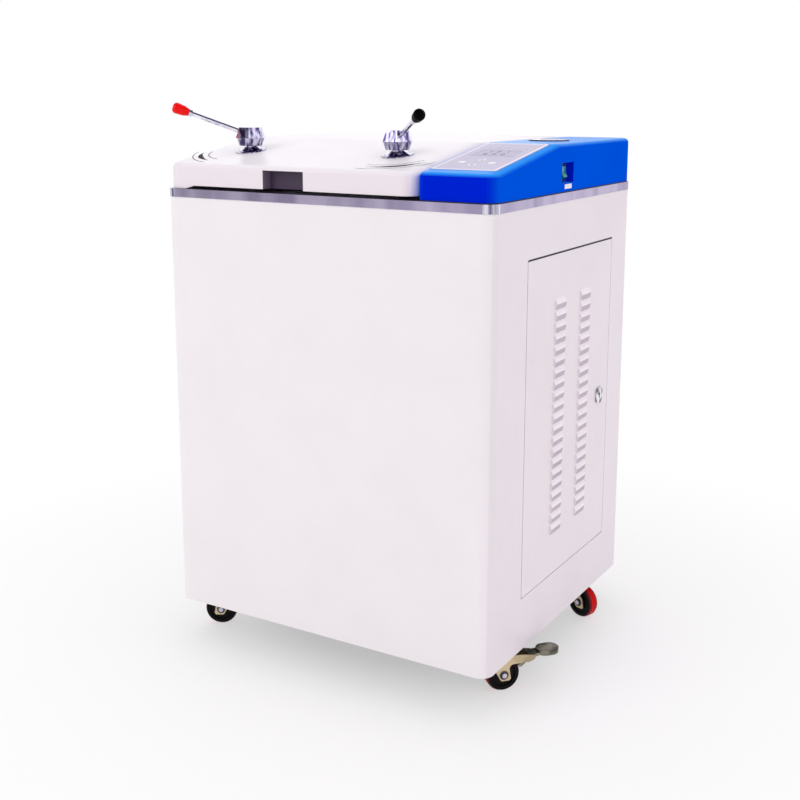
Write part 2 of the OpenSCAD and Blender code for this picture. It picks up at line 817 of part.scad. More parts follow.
// Relays, terminals and transformer on the electrical plate
module power_relay() {
    relay_rise = 250;
    rail_t = 8;
    rail_h = 30;
    rail_y0 = -120;
    rail_y1 = 150;
    relay_w = 50;
    relay_pitch = 60;
    relay_h = 80;
    relay_low = 20;
    relay_deep = 60;
    block_y0 = 76;
    block_y1 = 140;
    block_low = 6;
    block_h = 46;
    block_deep = 40;
    coil_rise = 120;
    coil_y0 = -90;
    coil_y1 = 20;
    coil_h = 80;
    coil_deep = 70;
    foot_t = 4;
    foot_h = 6;
    foot_out = 10;
    x0 = bay_x + plate_t;
    z0 = z_body + relay_rise;
    z1 = z0 + coil_rise;
    color([0.15, 0.16, 0.18]) {
        span([x0, rail_y0, z0], [x0 + rail_t, rail_y1, z0 + rail_h]);
        for (i = [0 : 2]) translate([x0 + rail_t, rail_y0 + foot_out + i * relay_pitch, z0 - relay_low])
            cube([relay_deep - rail_t, relay_w, relay_h]);
        span([x0 + rail_t, block_y0, z0 - block_low], [x0 + block_deep, block_y1, z0 + block_h - block_low]);
        span([x0, coil_y0, z1], [x0 + coil_deep, coil_y1, z1 + coil_h]);
        span([x0, coil_y0 - foot_out, z1], [x0 + foot_t, coil_y1 + foot_out, z1 + foot_h]);
    }
}

// Mains inlet in the back panel
module power_inlet() {
    lip = 5;
    deep = 30;
    pin_w = 3;
    pocket = 18;
    w = inlet_w - 2 * fit_gap;
    h = inlet_h - 2 * fit_gap;
    color([0.08, 0.08, 0.09]) difference() {
        union() {
            span([inlet_x - w / 2, half_d - deep, inlet_z - h / 2],
                [inlet_x + w / 2, half_d + sheet_t + lip, inlet_z + h / 2]);
            span([inlet_x - w / 2 - lip, half_d + sheet_t, inlet_z - h / 2 - lip],
                [inlet_x + w / 2 + lip, half_d + sheet_t + lip, inlet_z + h / 2 + lip]);
        }
        difference() {
            span([inlet_x - w / 3, half_d - pocket, inlet_z - h / 3],
                [inlet_x + w / 3, half_d + sheet_t + lip + over, inlet_z + h / 3]);
            for (p = [[-1, -1], [1, -1], [0, 1]])
                translate([inlet_x + p[0] * w / 6, half_d - pocket / 2, inlet_z + p[1] * h / 8])
                    cube([pin_w, pocket + over, pin_w * 2.5], center = true);
        }
    }
}

// Bracket on the deck with the ears of the lid's hinge
module hinge_bracket() {
    flange_gap = 3;
    back_gap = 6;
    foot_out = 6;
    ear_step = 2;
    y0 = vessel_y + flange_r + flange_gap;
    y1 = half_d - back_gap;
    x_out = strap_x + strap_w / 2 + ear_gap + ear_t;
    in0 = strap_x - strap_w / 2 - ear_gap - ear_t;
    color([0.55, 0.56, 0.58]) translate([vessel_x, 0, 0]) difference() {
        union() {
            span([-x_out - foot_out, y0, z_deck], [x_out + foot_out, y1, z_deck + bracket_t]);
            for (s = [-1, 1], x = [in0, x_out - ear_t]) {
                x0 = s > 0 ? x : -x - ear_t;
                span([x0, hinge_y - eye_r + ear_step, z_deck + bracket_t - over],
                    [x0 + ear_t, hinge_y + eye_r - ear_step, hinge_z]);
                xrod(x0, x0 + ear_t, hinge_y, hinge_z, eye_r);
            }
        }
        xrod(-x_out - over, x_out + over, hinge_y, hinge_z, hinge_pin_r + run_gap);
    }
}

// Hinge pin with a head at each end
module hinge_pin() {
    x_out = strap_x + strap_w / 2 + ear_gap + ear_t;
    head = 3;
    head_w = 2;
    color([0.8, 0.8, 0.82]) translate([vessel_x, 0, 0]) {
        xrod(-x_out - head, x_out + head, hinge_y, hinge_z, hinge_pin_r);
        for (x = [-x_out - head, x_out + fit_gap / 2])
            xrod(x, x + head - fit_gap / 2, hinge_y, hinge_z, hinge_pin_r + head_w);
    }
}

// Rounded corner piece of a moulding: a disc with a rounded upper edge
module puck(x, y, z, r, e) {
    translate([x, y, z - e]) rotate_extrude($fn = 32) {
        square([r - e, e]);
        translate([r - e, 0]) intersection() {
            circle(e, $fn = 32);
            square(e);
        }
    }
}

// Solid outer form of a moulding between two X values, shrunk by g
module wedge_form(x0, x1, z0, g, crown) {
    r = corner_r - g;
    e = max(edge_r - g / 2, over);
    ya = face_y + corner_r;
    yb = slope_far - half_d + corner_r - edge_r;
    yc = tail_y - corner_r;
    crown_r = 60;
    hull() {
        for (x = [x0 + corner_r, x1 - corner_r]) {
            for (y = [ya, yc])
                translate([x, y, z0]) cylinder(h = over, r = r, $fn = 32);
            puck(x, ya, z_deck + front_h - g, r, e);
            puck(x, yb, z_deck + back_h - g, r, e);
            puck(x, yc, z_deck + back_h - g, r, e);
        }
        if (crown > 0)
            translate([(x0 + x1) / 2, vessel_y + crown_r, z_deck + back_h])
                cylinder(h = crown - g, r = crown_r, $fn = 32);
    }
}

// White moulded lid cover with the finger recess, and notches round the hinge's ears.
// It comes down to the deck at the sides, and its front is cut back from the free corner on.
seat_gap = 0.5;
relief_in = 38;
relief_run = 22;
grip_x0 = vessel_x - grip_w / 2;
skirt_room = 30;
skirt_gap = 0.5;
skirt_y = hinge_y - eye_r - skirt_room;
module lid_cover() {
    z0 = z_deck + seat_gap;
    z_front = z_deck + lid_gap;
    grip_wall = 2;
    spindle_gap = 4;
    hole_r = spindle_r + spindle_gap;
    z_skirt = z_arm + skirt_gap;
    notch_gap = 3;
    notch_rise = 14;
    notch_w = strap_w / 2 + ear_gap + ear_t + notch_gap;
    color([0.96, 0.95, 0.96]) difference() {
        union() {
            difference() {
                wedge_form(lid_x0, lid_x1, z0, 0, lid_crown);
                translate([0, 0, -over]) wedge_form(lid_x0, lid_x1, z0, mould_t, lid_crown);
            }
            span([grip_x0 - grip_wall, face_y + mould_t / 2, z_front],
                [grip_x0 + grip_w + grip_wall, face_y + grip_depth + grip_wall,
                    z_front + grip_h + grip_wall]);
        }
        span([grip_x0, face_y - over, z_front - over],
            [grip_x0 + grip_w, face_y + grip_depth, z_front + grip_h]);
        translate([0, face_y + grip_depth + 2 * grip_wall, 0]) rotate([90, 0, 0])
            linear_extrude(grip_depth + 2 * grip_wall + over)
                polygon([[lid_x0 + relief_in, z0 - over], [lid_x0 + relief_in + relief_run, z_front],
                    [lid_x1 + over, z_front], [lid_x1 + over, z0 - over]]);
        for (s = [-1, 1])
            translate([vessel_x + s * spindle_dx, spindle_y, z0]) cylinder(h = back_h, r = hole_r);
        span([lid_x0 - over, skirt_y, z0 - over], [lid_x1 + over, half_d + over, z_skirt]);
        for (s = [-1, 1])
            span([vessel_x + s * strap_x - notch_w, hinge_y, z0],
                [vessel_x + s * strap_x + notch_w, half_d + over, hinge_z + notch_rise]);
    }
}

// Dished pressure lid with the groove of its gasket
dome_t = 4;
module pressure_lid() {
    inset = 10;
    c = gasket_r0 - inset;
    top = dome(c, dome_rise);
    under = dome(c - dome_t, dome_rise);
    g0 = gasket_r0 - fit_gap;
    g1 = gasket_r0 + gasket_w + fit_gap;
    deep = gasket_h - rim_gap + fit_gap;
    color([0.8, 0.81, 0.82]) translate([vessel_x, vessel_y, z_rim]) rotate_extrude($fn = 128) polygon(concat(
        [for (p = under) [p[0], p[1] + rim_t - dome_t]],
        [for (i = [dome_steps : -1 : 0]) [top[i][0], top[i][1] + rim_t]],
        [[rim_r, rim_t], [rim_r, 0], [g1, 0], [g1, deep], [g0, deep], [g0, 0], [c - dome_t, 0]]));
}

// Silicone gasket in the pressure lid's groove
module lid_gasket() {
    deep = gasket_h - rim_gap + fit_gap;
    color([0.85, 0.84, 0.8]) translate([vessel_x, vessel_y, z_rim + deep - gasket_h])
        rotate_extrude($fn = 128) translate([gasket_r0, 0]) square([gasket_w, gasket_h]);
}

// Steel ring plate with the spindle bearings and the hinge straps
boss_h = 12;
module lid_arm() {
    ring_lap = 4;
    lobe_w = 14;
    boss_w = 7;
    ring_r = gasket_r0 - ring_lap;
    lobe_r = spindle_r + lobe_w;
    boss_r = spindle_r + boss_w;
    color([0.5, 0.51, 0.53]) difference() {
        union() {
            translate([vessel_x, vessel_y, z_arm]) cylinder(h = arm_t, r = rim_r, $fn = 128);
            for (s = [-1, 1]) {
                translate([vessel_x + s * spindle_dx, spindle_y, z_arm]) cylinder(h = arm_t, r = lobe_r);
                translate([vessel_x + s * spindle_dx, spindle_y, z_arm])
                    cylinder(h = arm_t + boss_h, r = boss_r);
                span([vessel_x + s * strap_x - strap_w / 2, vessel_y + ring_r, z_arm],
                    [vessel_x + s * strap_x + strap_w / 2, hinge_y, z_arm_top]);
                xrod(vessel_x + s * strap_x - strap_w / 2, vessel_x + s * strap_x + strap_w / 2,
                    hinge_y, hinge_z, eye_r - 1);
            }
        }
        translate([vessel_x, vessel_y, z_arm - over]) cylinder(h = arm_t + 2 * over, r = ring_r, $fn = 128);
        for (s = [-1, 1])
            translate([vessel_x + s * spindle_dx, spindle_y, z_arm - over])
                cylinder(h = arm_t + boss_h + 2 * over, r = spindle_r + run_gap);
        xrod(vessel_x - half_w, vessel_x + half_w, hinge_y, hinge_z, hinge_pin_r + run_gap);
    }
}

// Flared chrome trims where the spindles leave the lid cover
module lever_escutcheons() {
    throat_gap = 3;
    edge = 1;
    throat_r = spindle_r + throat_gap;
    color([0.8, 0.8, 0.84]) for (s = [-1, 1])
        translate([vessel_x + s * spindle_dx, spindle_y, z_lid_at_spindle + fit_gap])
            rotate([slope_angle, 0, 0]) rotate_extrude() polygon([
                [throat_r, 0], [escutcheon_r, 0], [escutcheon_r, edge],
                [escutcheon_r * 0.6, edge * 2], [throat_r + edge * 2, escutcheon_h - edge],
                [throat_r + edge, escutcheon_h], [throat_r, escutcheon_h]]);
}

// Spindle with the claw that hooks under the flange
module spindle(side) {
    z_claw = z_flange - claw_gap - claw_t;
    rest = side > 0 ? 180 - spindle_angle + 90 : spindle_angle - 90;
    collar = 4;
    collar_out = 3;
    color([0.7, 0.7, 0.73]) translate([vessel_x + side * spindle_dx, spindle_y, 0]) {
        translate([0, 0, z_claw]) cylinder(h = z_hex - z_claw, r = spindle_r);
        translate([0, 0, z_claw]) rotate([0, 0, rest]) {
            translate([0, -claw_w / 2, 0]) cube([claw_len, claw_w, claw_t]);
            cylinder(h = claw_t, r = claw_w / 2 + over);
        }
        translate([0, 0, z_arm_top + boss_h + fit_gap]) cylinder(h = collar, r = spindle_r + collar_out);
    }
}

// Fluted hexagonal head of a lever
module lever_head(side) {
    flute_r = 2;
    neck_wall = 1.5;
    flute_n = 12;
    body_r0 = head_r * 0.7;
    body_r1 = head_r * 0.86;
    color([0.72, 0.71, 0.8]) translate([vessel_x + side * spindle_dx, spindle_y, 0]) difference() {
        union() {
            translate([0, 0, z_neck + neck_h / 2])
                cylinder(h = neck_h / 2 + over, r = spindle_r + neck_wall);
            difference() {
                translate([0, 0, z_flute]) cylinder(h = flute_h, r1 = body_r0, r2 = body_r1);
                for (i = [0 : flute_n - 1])
                    rotate([0, 0, i * 360 / flute_n]) translate([body_r1, 0, z_flute - over])
                        cylinder(h = flute_h + 2 * over, r = flute_r, $fn = 24);
            }
            translate([0, 0, z_hex]) cylinder(h = hex_h, r1 = head_r, r2 = head_r * 0.76, $fn = 6);
        }
        translate([0, 0, z_neck - over]) cylinder(h = z_hex - z_neck + over, r = spindle_r + run_gap);
        rotate([0, 0, lever_turn(side)]) translate([0, 0, z_rod_root])
            rotate([0, 90 - lever_rise(side), 0]) translate([0, 0, head_r * 0.4])
                cylinder(h = head_r * 2, r = rod_r + run_gap);
    }
}

// Local frame of a lever's rod: Z runs out along the rod
module along_rod(side) {
    translate([vessel_x + side * spindle_dx, spindle_y, z_rod_root])
        rotate([0, 0, lever_turn(side)]) rotate([0, 90 - lever_rise(side), 0]) children();
}

// Straight rod of a lever with the ferrule under its grip
module lever_rod(side) {
    ferrule = 6;
    root = head_r * 0.4;
    ferrule_w = 2;
    color([0.78, 0.78, 0.84]) along_rod(side) {
        translate([0, 0, root]) cylinder(h = knob_start(side) + knob_len / 2 - root, r = rod_r);
        translate([0, 0, knob_start(side) - ferrule]) cylinder(h = ferrule - fit_gap, r = rod_r + ferrule_w);
    }
}

// Oblong plastic grip
module lever_knob(side) {
    tip = knob_r * 0.7;
    color(side > 0 ? [0.04, 0.04, 0.04] : [0.85, 0.05, 0.05]) along_rod(side)
        translate([0, 0, knob_start(side)]) difference() {
            rotate_extrude() polygon(concat([[0, 0], [knob_r * 0.62, 0], [knob_r * 0.9, knob_len * 0.3]],
                [for (a = [0 : 15 : 90])
                    [knob_r - tip * (1 - cos(a)), knob_len - tip + tip * sin(a)]],
                [[0, knob_len]]));
            translate([0, 0, -over]) cylinder(h = knob_len / 2 + over + fit_gap, r = rod_r + run_gap);
        }
}

// Blue control housing
module control_housing() {
    z0 = z_deck + fit_gap;
    tub = 2;
    snap = 2;
    hole_w = panel_w - 2 * panel_margin;
    hole_len = panel_len - 2 * panel_margin;
    x_tub = half_w - recess_deep;
    z_top = z_deck + back_h;
    color([0.02, 0.16, 0.8]) difference() {
        union() {
            difference() {
                wedge_form(housing_x0, housing_x1, z0, 0, 0);
                translate([0, 0, -over]) wedge_form(housing_x0, housing_x1, z0, housing_t, 0);
            }
            span([x_tub - tub, recess_y - tub, recess_z - tub],
                [housing_x1 - housing_t / 2, recess_y + recess_len + tub, recess_z + recess_h + tub]);
        }
        span([x_tub, recess_y, recess_z], [half_w + over, recess_y + recess_len, recess_z + recess_h]);
        translate([x_tub, switch_y, switch_z])
            cube([3 * tub, rocker_w + 2 * snap, 2 * rocker_r], center = true);
        on_slope() {
            translate([-hole_w / 2, -hole_len / 2, -2 * housing_t]) cube([hole_w, hole_len, 3 * housing_t]);
            translate([-panel_w / 2 - fit_gap, -panel_len / 2 - fit_gap, panel_proud - panel_t])
                cube([panel_w + 2 * fit_gap, panel_len + 2 * fit_gap, housing_t]);
        }
        translate([gauge_x, gauge_y, z_top - gauge_deep])
            cylinder(h = 2 * gauge_deep, r = gauge_body_r + fit_gap);
    }
}

// Grey membrane panel with the display window and button holes
button_places = [[-1, 0], [1, 0], [0, 1], [0, -1]];
module membrane_panel() {
    color([0.72, 0.7, 0.76]) on_slope() difference() {
        translate([0, 0, panel_proud - panel_t / 2]) linear_extrude(panel_t, center = true)
            plate2d(panel_w, panel_len, panel_margin);
        for (p = button_places)
            translate([p[0] * button_spread, button_pad_y + p[1] * button_rise, -panel_t - over])
                cylinder(h = panel_t + 3 * over, r = button_r + button_gap);
        translate([0, display_y, 0]) cube([display_w, display_len, 4 * panel_t], center = true);
    }
}

// Panel button with its retaining flange and stem
module panel_button(i) {
    p = button_places[i];
    flange = 1.5;
    under = panel_proud - panel_t - fit_gap;
    color([0.95, 0.95, 0.96]) on_slope()
        translate([p[0] * button_spread, button_pad_y + p[1] * button_rise, 0]) {
            translate([0, 0, under]) cylinder(h = button_t + panel_proud, r = button_r);
            translate([0, 0, under - button_lip]) cylinder(h = button_lip, r = button_r + flange);
            translate([0, 0, under - button_lip - button_stem])
                cylinder(h = button_stem + over, r = button_r / 2);
        }
}

// Pressure gauge case with its bezel and dial
dial_drop = 4;
module gauge_case() {
    floor_t = 4;
    z_top = z_deck + back_h;
    color([0.15, 0.15, 0.17]) translate([gauge_x, gauge_y, z_top]) difference() {
        union() {
            translate([0, 0, -gauge_deep]) cylinder(h = gauge_deep + over, r = gauge_body_r);
            translate([0, 0, fit_gap]) cylinder(h = bezel_h - fit_gap, r = gauge_r);
        }
        translate([0, 0, bezel_h - dial_drop - over])
            cylinder(h = dial_drop + 2 * over, r = gauge_body_r - bezel_w);
        translate([0, 0, -gauge_deep + floor_t]) cylinder(h = gauge_deep, r = needle_pin_r + run_gap);
    }
}

// Gauge pointer on its staff, at zero
needle_pin_r = 1.5;
module gauge_needle() {
    z_dial = z_deck + back_h + bezel_h - dial_drop - over;
    tip_gap = 8;
    staff = 8;
    len = gauge_body_r - tip_gap;
    w = 1.6;
    t = 0.8;
    lift = 1;
    color([0.05, 0.05, 0.05]) translate([gauge_x, gauge_y, z_dial]) {
        translate([0, 0, -staff]) cylinder(h = staff + lift + t, r = needle_pin_r, $fn = 24);
        translate([0, 0, lift]) cylinder(h = t, r = needle_pin_r * 2);
        translate([0, 0, lift]) rotate([0, 0, 225]) linear_extrude(t)
            polygon([[-len / 4, -w], [len, -w / 4], [len, w / 4], [-len / 4, w]]);
    }
}

// Glass of the gauge
module gauge_glass() {
    t = 1.5;
    z_top = z_deck + back_h + bezel_h;
    color([0.85, 0.9, 0.92, 0.4]) translate([gauge_x, gauge_y, z_top - t])
        cylinder(h = t, r = gauge_body_r - bezel_w - run_gap);
}

// Black frame of the power switch
switch_rim = 3.5;
module switch_frame() {
    w = rocker_w + 2 * switch_rim;
    h = 2 * rocker_r + 2 * switch_rim;
    hw = rocker_w / 2 + fit_gap;
    hh = rocker_r + fit_gap;
    body_deep = 20;
    body_side = rocker_w / 2 + over;
    body_x = switch_x - frame_rim;
    color([0.05, 0.05, 0.06]) translate([0, switch_y, switch_z]) difference() {
        union() {
            span([body_x, -w / 2, -h / 2], [switch_x, w / 2, h / 2]);
            span([body_x - body_deep, -body_side, over - rocker_r],
                [body_x + over, body_side, rocker_r - over]);
        }
        span([body_x - rocker_r + frame_rim, -hw, -hh], [switch_x + over, hw, hh]);
    }
}

// Lit rocker, pressed in at the top when off
module power_rocker() {
    dish = 3;
    color([0.05, 0.62, 0.5]) translate([switch_x - frame_rim, switch_y, switch_z])
        rotate([90, 0, 0]) translate([0, 0, -rocker_w / 2]) linear_extrude(rocker_w)
            rotate([0, 0, rocker_tilt]) intersection() {
                circle(rocker_r - fit_gap);
                polygon([[-rocker_r / 3, -rocker_r], [rocker_face + dish, -rocker_r], [rocker_face, 0],
                    [rocker_face + dish, rocker_r], [-rocker_r / 3, rocker_r]]);
            }
}

// Pressed louver: a bulged hood with closed ends over an open slot
louver_up_share = 0.46;
louver_down_share = 0.44;
louver_up = louver_pitch * louver_up_share;
louver_down = louver_pitch * louver_down_share;
module louver_hood() {
    skin = 1;
    mouth = 2.2;
    shoulder = [louver_out * 0.75, louver_up * 0.45];
    outside = [[0, louver_up], shoulder, [louver_out, 0], [mouth, -louver_down]];
    inside = [[mouth - skin, -louver_down], [louver_out - skin, 0], shoulder - [skin, skin / 2],
        [-skin / 2, louver_up - skin * 2]];
    rotate([90, 0, 0]) translate([0, 0, -louver_len / 2]) {
        linear_extrude(louver_len) polygon(concat([[-skin / 2, louver_up]], outside, inside));
        for (z = [0, louver_len - skin]) translate([0, 0, z]) linear_extrude(skin)
            polygon(concat([[-skin / 2, louver_up]], outside, [[-skin / 2, -louver_down]]));
    }
}

// Louvered side door, a folded tray hung on two pins
louver_col_share = [0.36, 0.66];
louver_col = [for (k = louver_col_share) k * (door_back + door_front) - door_front];
z_louver0 = z_door + (door_h - (louver_count - 1) * louver_pitch) / 2;
module side_door() {
    slot_lip = 3;
    slot_end = 1.2;
    slot_h = louver_down + louver_up - slot_lip;
    color([0.93, 0.91, 0.93]) difference() {
        union() {
            difference() {
                span([half_w - door_fold, -door_front, z_door], [half_w, door_back, z_door + door_h]);
                span([half_w - door_fold - over, sheet_t - door_front, z_door + sheet_t],
                    [half_w - sheet_t, door_back - sheet_t, z_door + door_h - sheet_t]);
            }
            for (c = louver_col, i = [0 : louver_count - 1])
                translate([half_w, c, z_louver0 + i * louver_pitch]) louver_hood();
        }
        for (c = louver_col, i = [0 : louver_count - 1])
            translate([half_w - sheet_t / 2, c,
                z_louver0 + i * louver_pitch - louver_down + slot_h / 2])
                cube([sheet_t + over, louver_len - 2 * slot_end, slot_h], center = true);
        xrod(half_w - door_fold - over, half_w + over, lock_y, lock_z, lock_shaft_r + run_gap);
        for (z = [z_door - over, z_door + door_h - sheet_t - over])
            translate([door_pivot_x, door_pivot_y, z])
                cylinder(h = sheet_t + 2 * over, r = door_pin_r + run_gap, $fn = 32);
    }
}

// The two pins that the side door turns on
module door_pins() {
    z0 = z_door - door_gap;
    z1 = z_door + door_h + door_gap;
    color([0.7, 0.7, 0.72]) translate([door_pivot_x, door_pivot_y, 0]) {
        translate([0, 0, z0]) cylinder(h = door_pin_len, r = door_pin_r, $fn = 32);
        translate([0, 0, z1 - door_pin_len]) cylinder(h = door_pin_len, r = door_pin_r, $fn = 32);
    }
}

// Cam lock: domed face with a keyhole, shaft and cam
module cam_lock() {
    key_w = 2.5;
    key_h = 9;
    shaft_out = 2;
    color([0.78, 0.78, 0.82]) difference() {
        union() {
            xrod(half_w + run_gap, half_w + lock_face_t, lock_y, lock_z, lock_r);
            xrod(cam_x - cam_t - shaft_out, half_w + over, lock_y, lock_z, lock_shaft_r);
            span([cam_x - cam_t, lock_y - cam_w / 2, lock_z - cam_len], [cam_x, lock_y + cam_w / 2, lock_z]);
        }
        translate([half_w + lock_face_t, lock_y, lock_z])
            cube([lock_face_t * 4, key_w, key_h], center = true);
        xrod(half_w - lock_face_t, half_w + lock_face_t + over, lock_y, lock_z + key_h / 4, key_w);
    }
}

// Puts a caster's own frame at its swivel axis: X runs to the wheel
module at_caster(i) {
    places = [[-1, -1, -152], [1, -1, 48], [-1, 1, 40], [1, 1, -20]];
    translate([places[i][0] * caster_x, places[i][1] * caster_y, 0]) rotate([0, 0, places[i][2]])
        children();
}

// Bolted top plates of the four casters, with their king pins
module caster_plates() {
    bolt_inset = 6;
    bolt_place = caster_plate_w / 2 - bolt_inset;
    nut_h = 3;
    nut_r = 5;
    king_lip = 2;
    king_nut_r = 8;
    color([0.75, 0.68, 0.45]) for (x = [-1, 1], y = [-1, 1])
        translate([x * caster_x, y * caster_y, 0]) {
            translate([0, 0, z_plate + caster_t / 2])
                cube([caster_plate_w, caster_plate_w, caster_t], center = true);
            translate([0, 0, z_fork - king_lip])
                cylinder(h = z_plate - z_fork + king_lip + over, r = kingpin_r);
            translate([0, 0, z_fork - king_lip - nut_h])
                cylinder(h = nut_h + king_lip - fit_gap, r = king_nut_r);
            for (u = [-1, 1], v = [-1, 1])
                translate([u * bolt_place, v * bolt_place, z_plate - nut_h])
                    cylinder(h = nut_h + over, r = nut_r, $fn = 6);
        }
}

// Stamped fork with its axle bolt, and long arms where it carries a brake
fork_lip = 4;
arm_h = 15;
arm_tip = 12;
module fork(i) {
    braked = i == 1 || i == 2;
    leg_w = 10;
    leg_back = 17;
    foot_back = 7;
    foot_front = 13;
    foot_drop = 11;
    foot_edge = 3;
    skirt_h = 6;
    bow = 8;
    washer_r = 8;
    washer_h = 1.2;
    nut_r = 4.5;
    nut_h = 3;
    side = fork_half + fork_t;
    arm_low = brake_z - arm_h / 2;
    arm_end = brake_x + arm_tip;
    arm_x = caster_trail + leg_w + bow;
    bend = [for (a = [180 : -30 : 90]) [arm_x + bow * cos(a), arm_low + bow * (sin(a) - 1)]];
    arm = braked ? concat(bend, [[brake_x, arm_low], [arm_end - bow / 2, arm_low + arm_h / 6],
        [arm_end, brake_z], [arm_end, brake_z + arm_h / 4], [brake_x - arm_tip, brake_z + arm_h / 2]])
        : [[caster_trail + leg_w, wheel_r + leg_w], [raceway_r + fork_lip, z_fork - skirt_h]];
    foot = [[-foot_back, foot_edge - foot_drop], [foot_edge - foot_back, -foot_drop],
        [foot_front - foot_edge, -foot_drop], [foot_front, foot_edge - foot_drop]];
    color([0.8, 0.68, 0.42]) at_caster(i) difference() {
        union() {
            translate([-raceway_r, -side, z_fork])
                cube([2 * raceway_r + fork_lip, 2 * side, fork_top]);
            translate([0, 0, z_fork]) cylinder(h = z_plate - fit_gap - z_fork, r = raceway_r * 0.9);
            for (s = [-1, 1]) {
                translate([0, s > 0 ? side : -fork_half, 0]) rotate([90, 0, 0])
                    linear_extrude(fork_t)
                        polygon(concat([[-raceway_r, z_crown], [-raceway_r, z_fork - skirt_h],
                            [caster_trail - leg_back, wheel_r + leg_w]],
                            [for (p = foot) p + [caster_trail, wheel_r]], arm,
                            [[raceway_r + fork_lip, z_crown]]));
                for (b = [[washer_r, washer_h], [nut_r, nut_h]])
                    yrod(s > 0 ? side - over : -side - b[1], s > 0 ? side + b[1] : over - side,
                        caster_trail, wheel_r, b[0]);
            }
            yrod(-fork_half - over, fork_half + over, caster_trail, wheel_r, axle_r);
            if (braked) yrod(-fork_half - over, fork_half + over, brake_x, brake_z, brake_pin_r);
        }
        translate([0, 0, z_fork - over]) cylinder(h = z_body - z_fork, r = kingpin_r + run_gap);
    }
}

// Caster wheel: red tread on a black hub
module wheel(i) {
    crown = 2;
    hub_share = 0.68;
    hub_r = wheel_r * hub_share;
    dish = 2;
    w = wheel_w / 2;
    color([0.75, 0.03, 0.03]) at_caster(i) translate([caster_trail, 0, wheel_r]) rotate([90, 0, 0])
        rotate_extrude($fn = 96) polygon([[axle_r + run_gap, -w], [hub_r * 0.45, -w],
            [hub_r * 0.55, dish - w], [hub_r, dish - w], [hub_r + 1, -w], [wheel_r - crown, -w],
            [wheel_r, crown * 2 - w], [wheel_r, w - crown * 2], [wheel_r - crown, w], [hub_r + 1, w],
            [hub_r, w - dish], [hub_r * 0.55, w - dish], [hub_r * 0.45, w], [axle_r + run_gap, w]]);
}

// Point beside the wheel: a radius and an angle about its axle
function by_wheel(r, a) = [caster_trail + r * cos(a), wheel_r + r * sin(a)];

// Brake pedal of a caster: dished oval on a tongue, with its pad
pedal_r = 16;
pedal_len = 42;
pedal_h = 9;
module brake(i) {
    side_gap = 1;
    w = 2 * (fork_half - side_gap);
    hub_r = 5;
    t = 3;
    root_gap = 6;
    pad_gap = 1;
    pad_t = 4;
    pad_angle = 22;
    pad_spread = 5;
    r = wheel_r + pad_gap;
    pedal_x = brake_x + arm_tip + root_gap + pedal_r;
    color([0.62, 0.6, 0.5]) at_caster(i) difference() {
        union() {
            translate([0, w / 2, 0]) rotate([90, 0, 0]) linear_extrude(w) {
                translate([brake_x, brake_z]) circle(hub_r);
                polygon([[brake_x, brake_z - t], [pedal_x, brake_z + t], [pedal_x, brake_z + 2 * t],
                    [brake_x, brake_z + t]]);
                polygon([by_wheel(r, pad_angle - pad_spread), by_wheel(r + pad_t, pad_angle - pad_spread),
                    [brake_x + hub_r / 2, brake_z - hub_r / 2], [brake_x - hub_r / 2, brake_z + hub_r / 2],
                    by_wheel(r, pad_angle + pad_spread)]);
            }
            translate([pedal_x, 0, brake_z]) difference() {
                linear_extrude(pedal_h) pedal2d(pedal_r);
                translate([0, 0, -over]) linear_extrude(pedal_h - t + over) pedal2d(pedal_r - t);
            }
        }
        yrod(-w, w, brake_x, brake_z, brake_pin_r + run_gap);
    }
}

// Outline of the pedal about its inner round end's centre
module pedal2d(r) {
    run = pedal_len - 2 * pedal_r;
    circle(r);
    translate([run, 0]) circle(r);
    translate([0, -r]) square([run, 2 * r]);
}

frame();
cabinet_shell();
rear_panel();
top_deck();
electrical_plate();
pressure_vessel();
insulation_jacket();
heating_element();
support_plate();
basket();
basket_bail();
drain_valve();
drain_lever();
safety_valve();
safety_lever();
exhaust_valve();
condensate_bottle();
control_board();
power_relay();
power_inlet();
hinge_bracket();
hinge_pin();
lid_cover();
pressure_lid();
lid_gasket();
lid_arm();
lever_escutcheons();
spindle(-1);  // left_spindle
lever_head(-1);  // left_lever_head
lever_rod(-1);  // left_lever_rod
lever_knob(-1);  // left_lever_knob
spindle(1);  // right_spindle
lever_head(1);  // right_lever_head
lever_rod(1);  // right_lever_rod
lever_knob(1);  // right_lever_knob
control_housing();
membrane_panel();
panel_button(0);  // button_left
panel_button(1);  // button_right
panel_button(2);  // button_up
panel_button(3);  // button_down
gauge_case();
gauge_needle();
gauge_glass();
switch_frame();
power_rocker();
side_door();
door_pins();
cam_lock();
caster_plates();
fork(0);  // front_left_fork
fork(1);  // front_right_fork
fork(2);  // rear_left_fork
fork(3);  // rear_right_fork
wheel(0);  // front_left_wheel
wheel(1);  // front_right_wheel
wheel(2);  // rear_left_wheel
wheel(3);  // rear_right_wheel
brake(1);  // front_right_brake
brake(2);  // rear_left_brake
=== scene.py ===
# Finished look of a vertical autoclave, dressed on its packed construction.
# Metres, Z up, front at -Y.
import math

import bmesh
import bpy
from mathutils import Euler, Matrix, Quaternion, Vector
from mathutils.geometry import convex_hull_2d


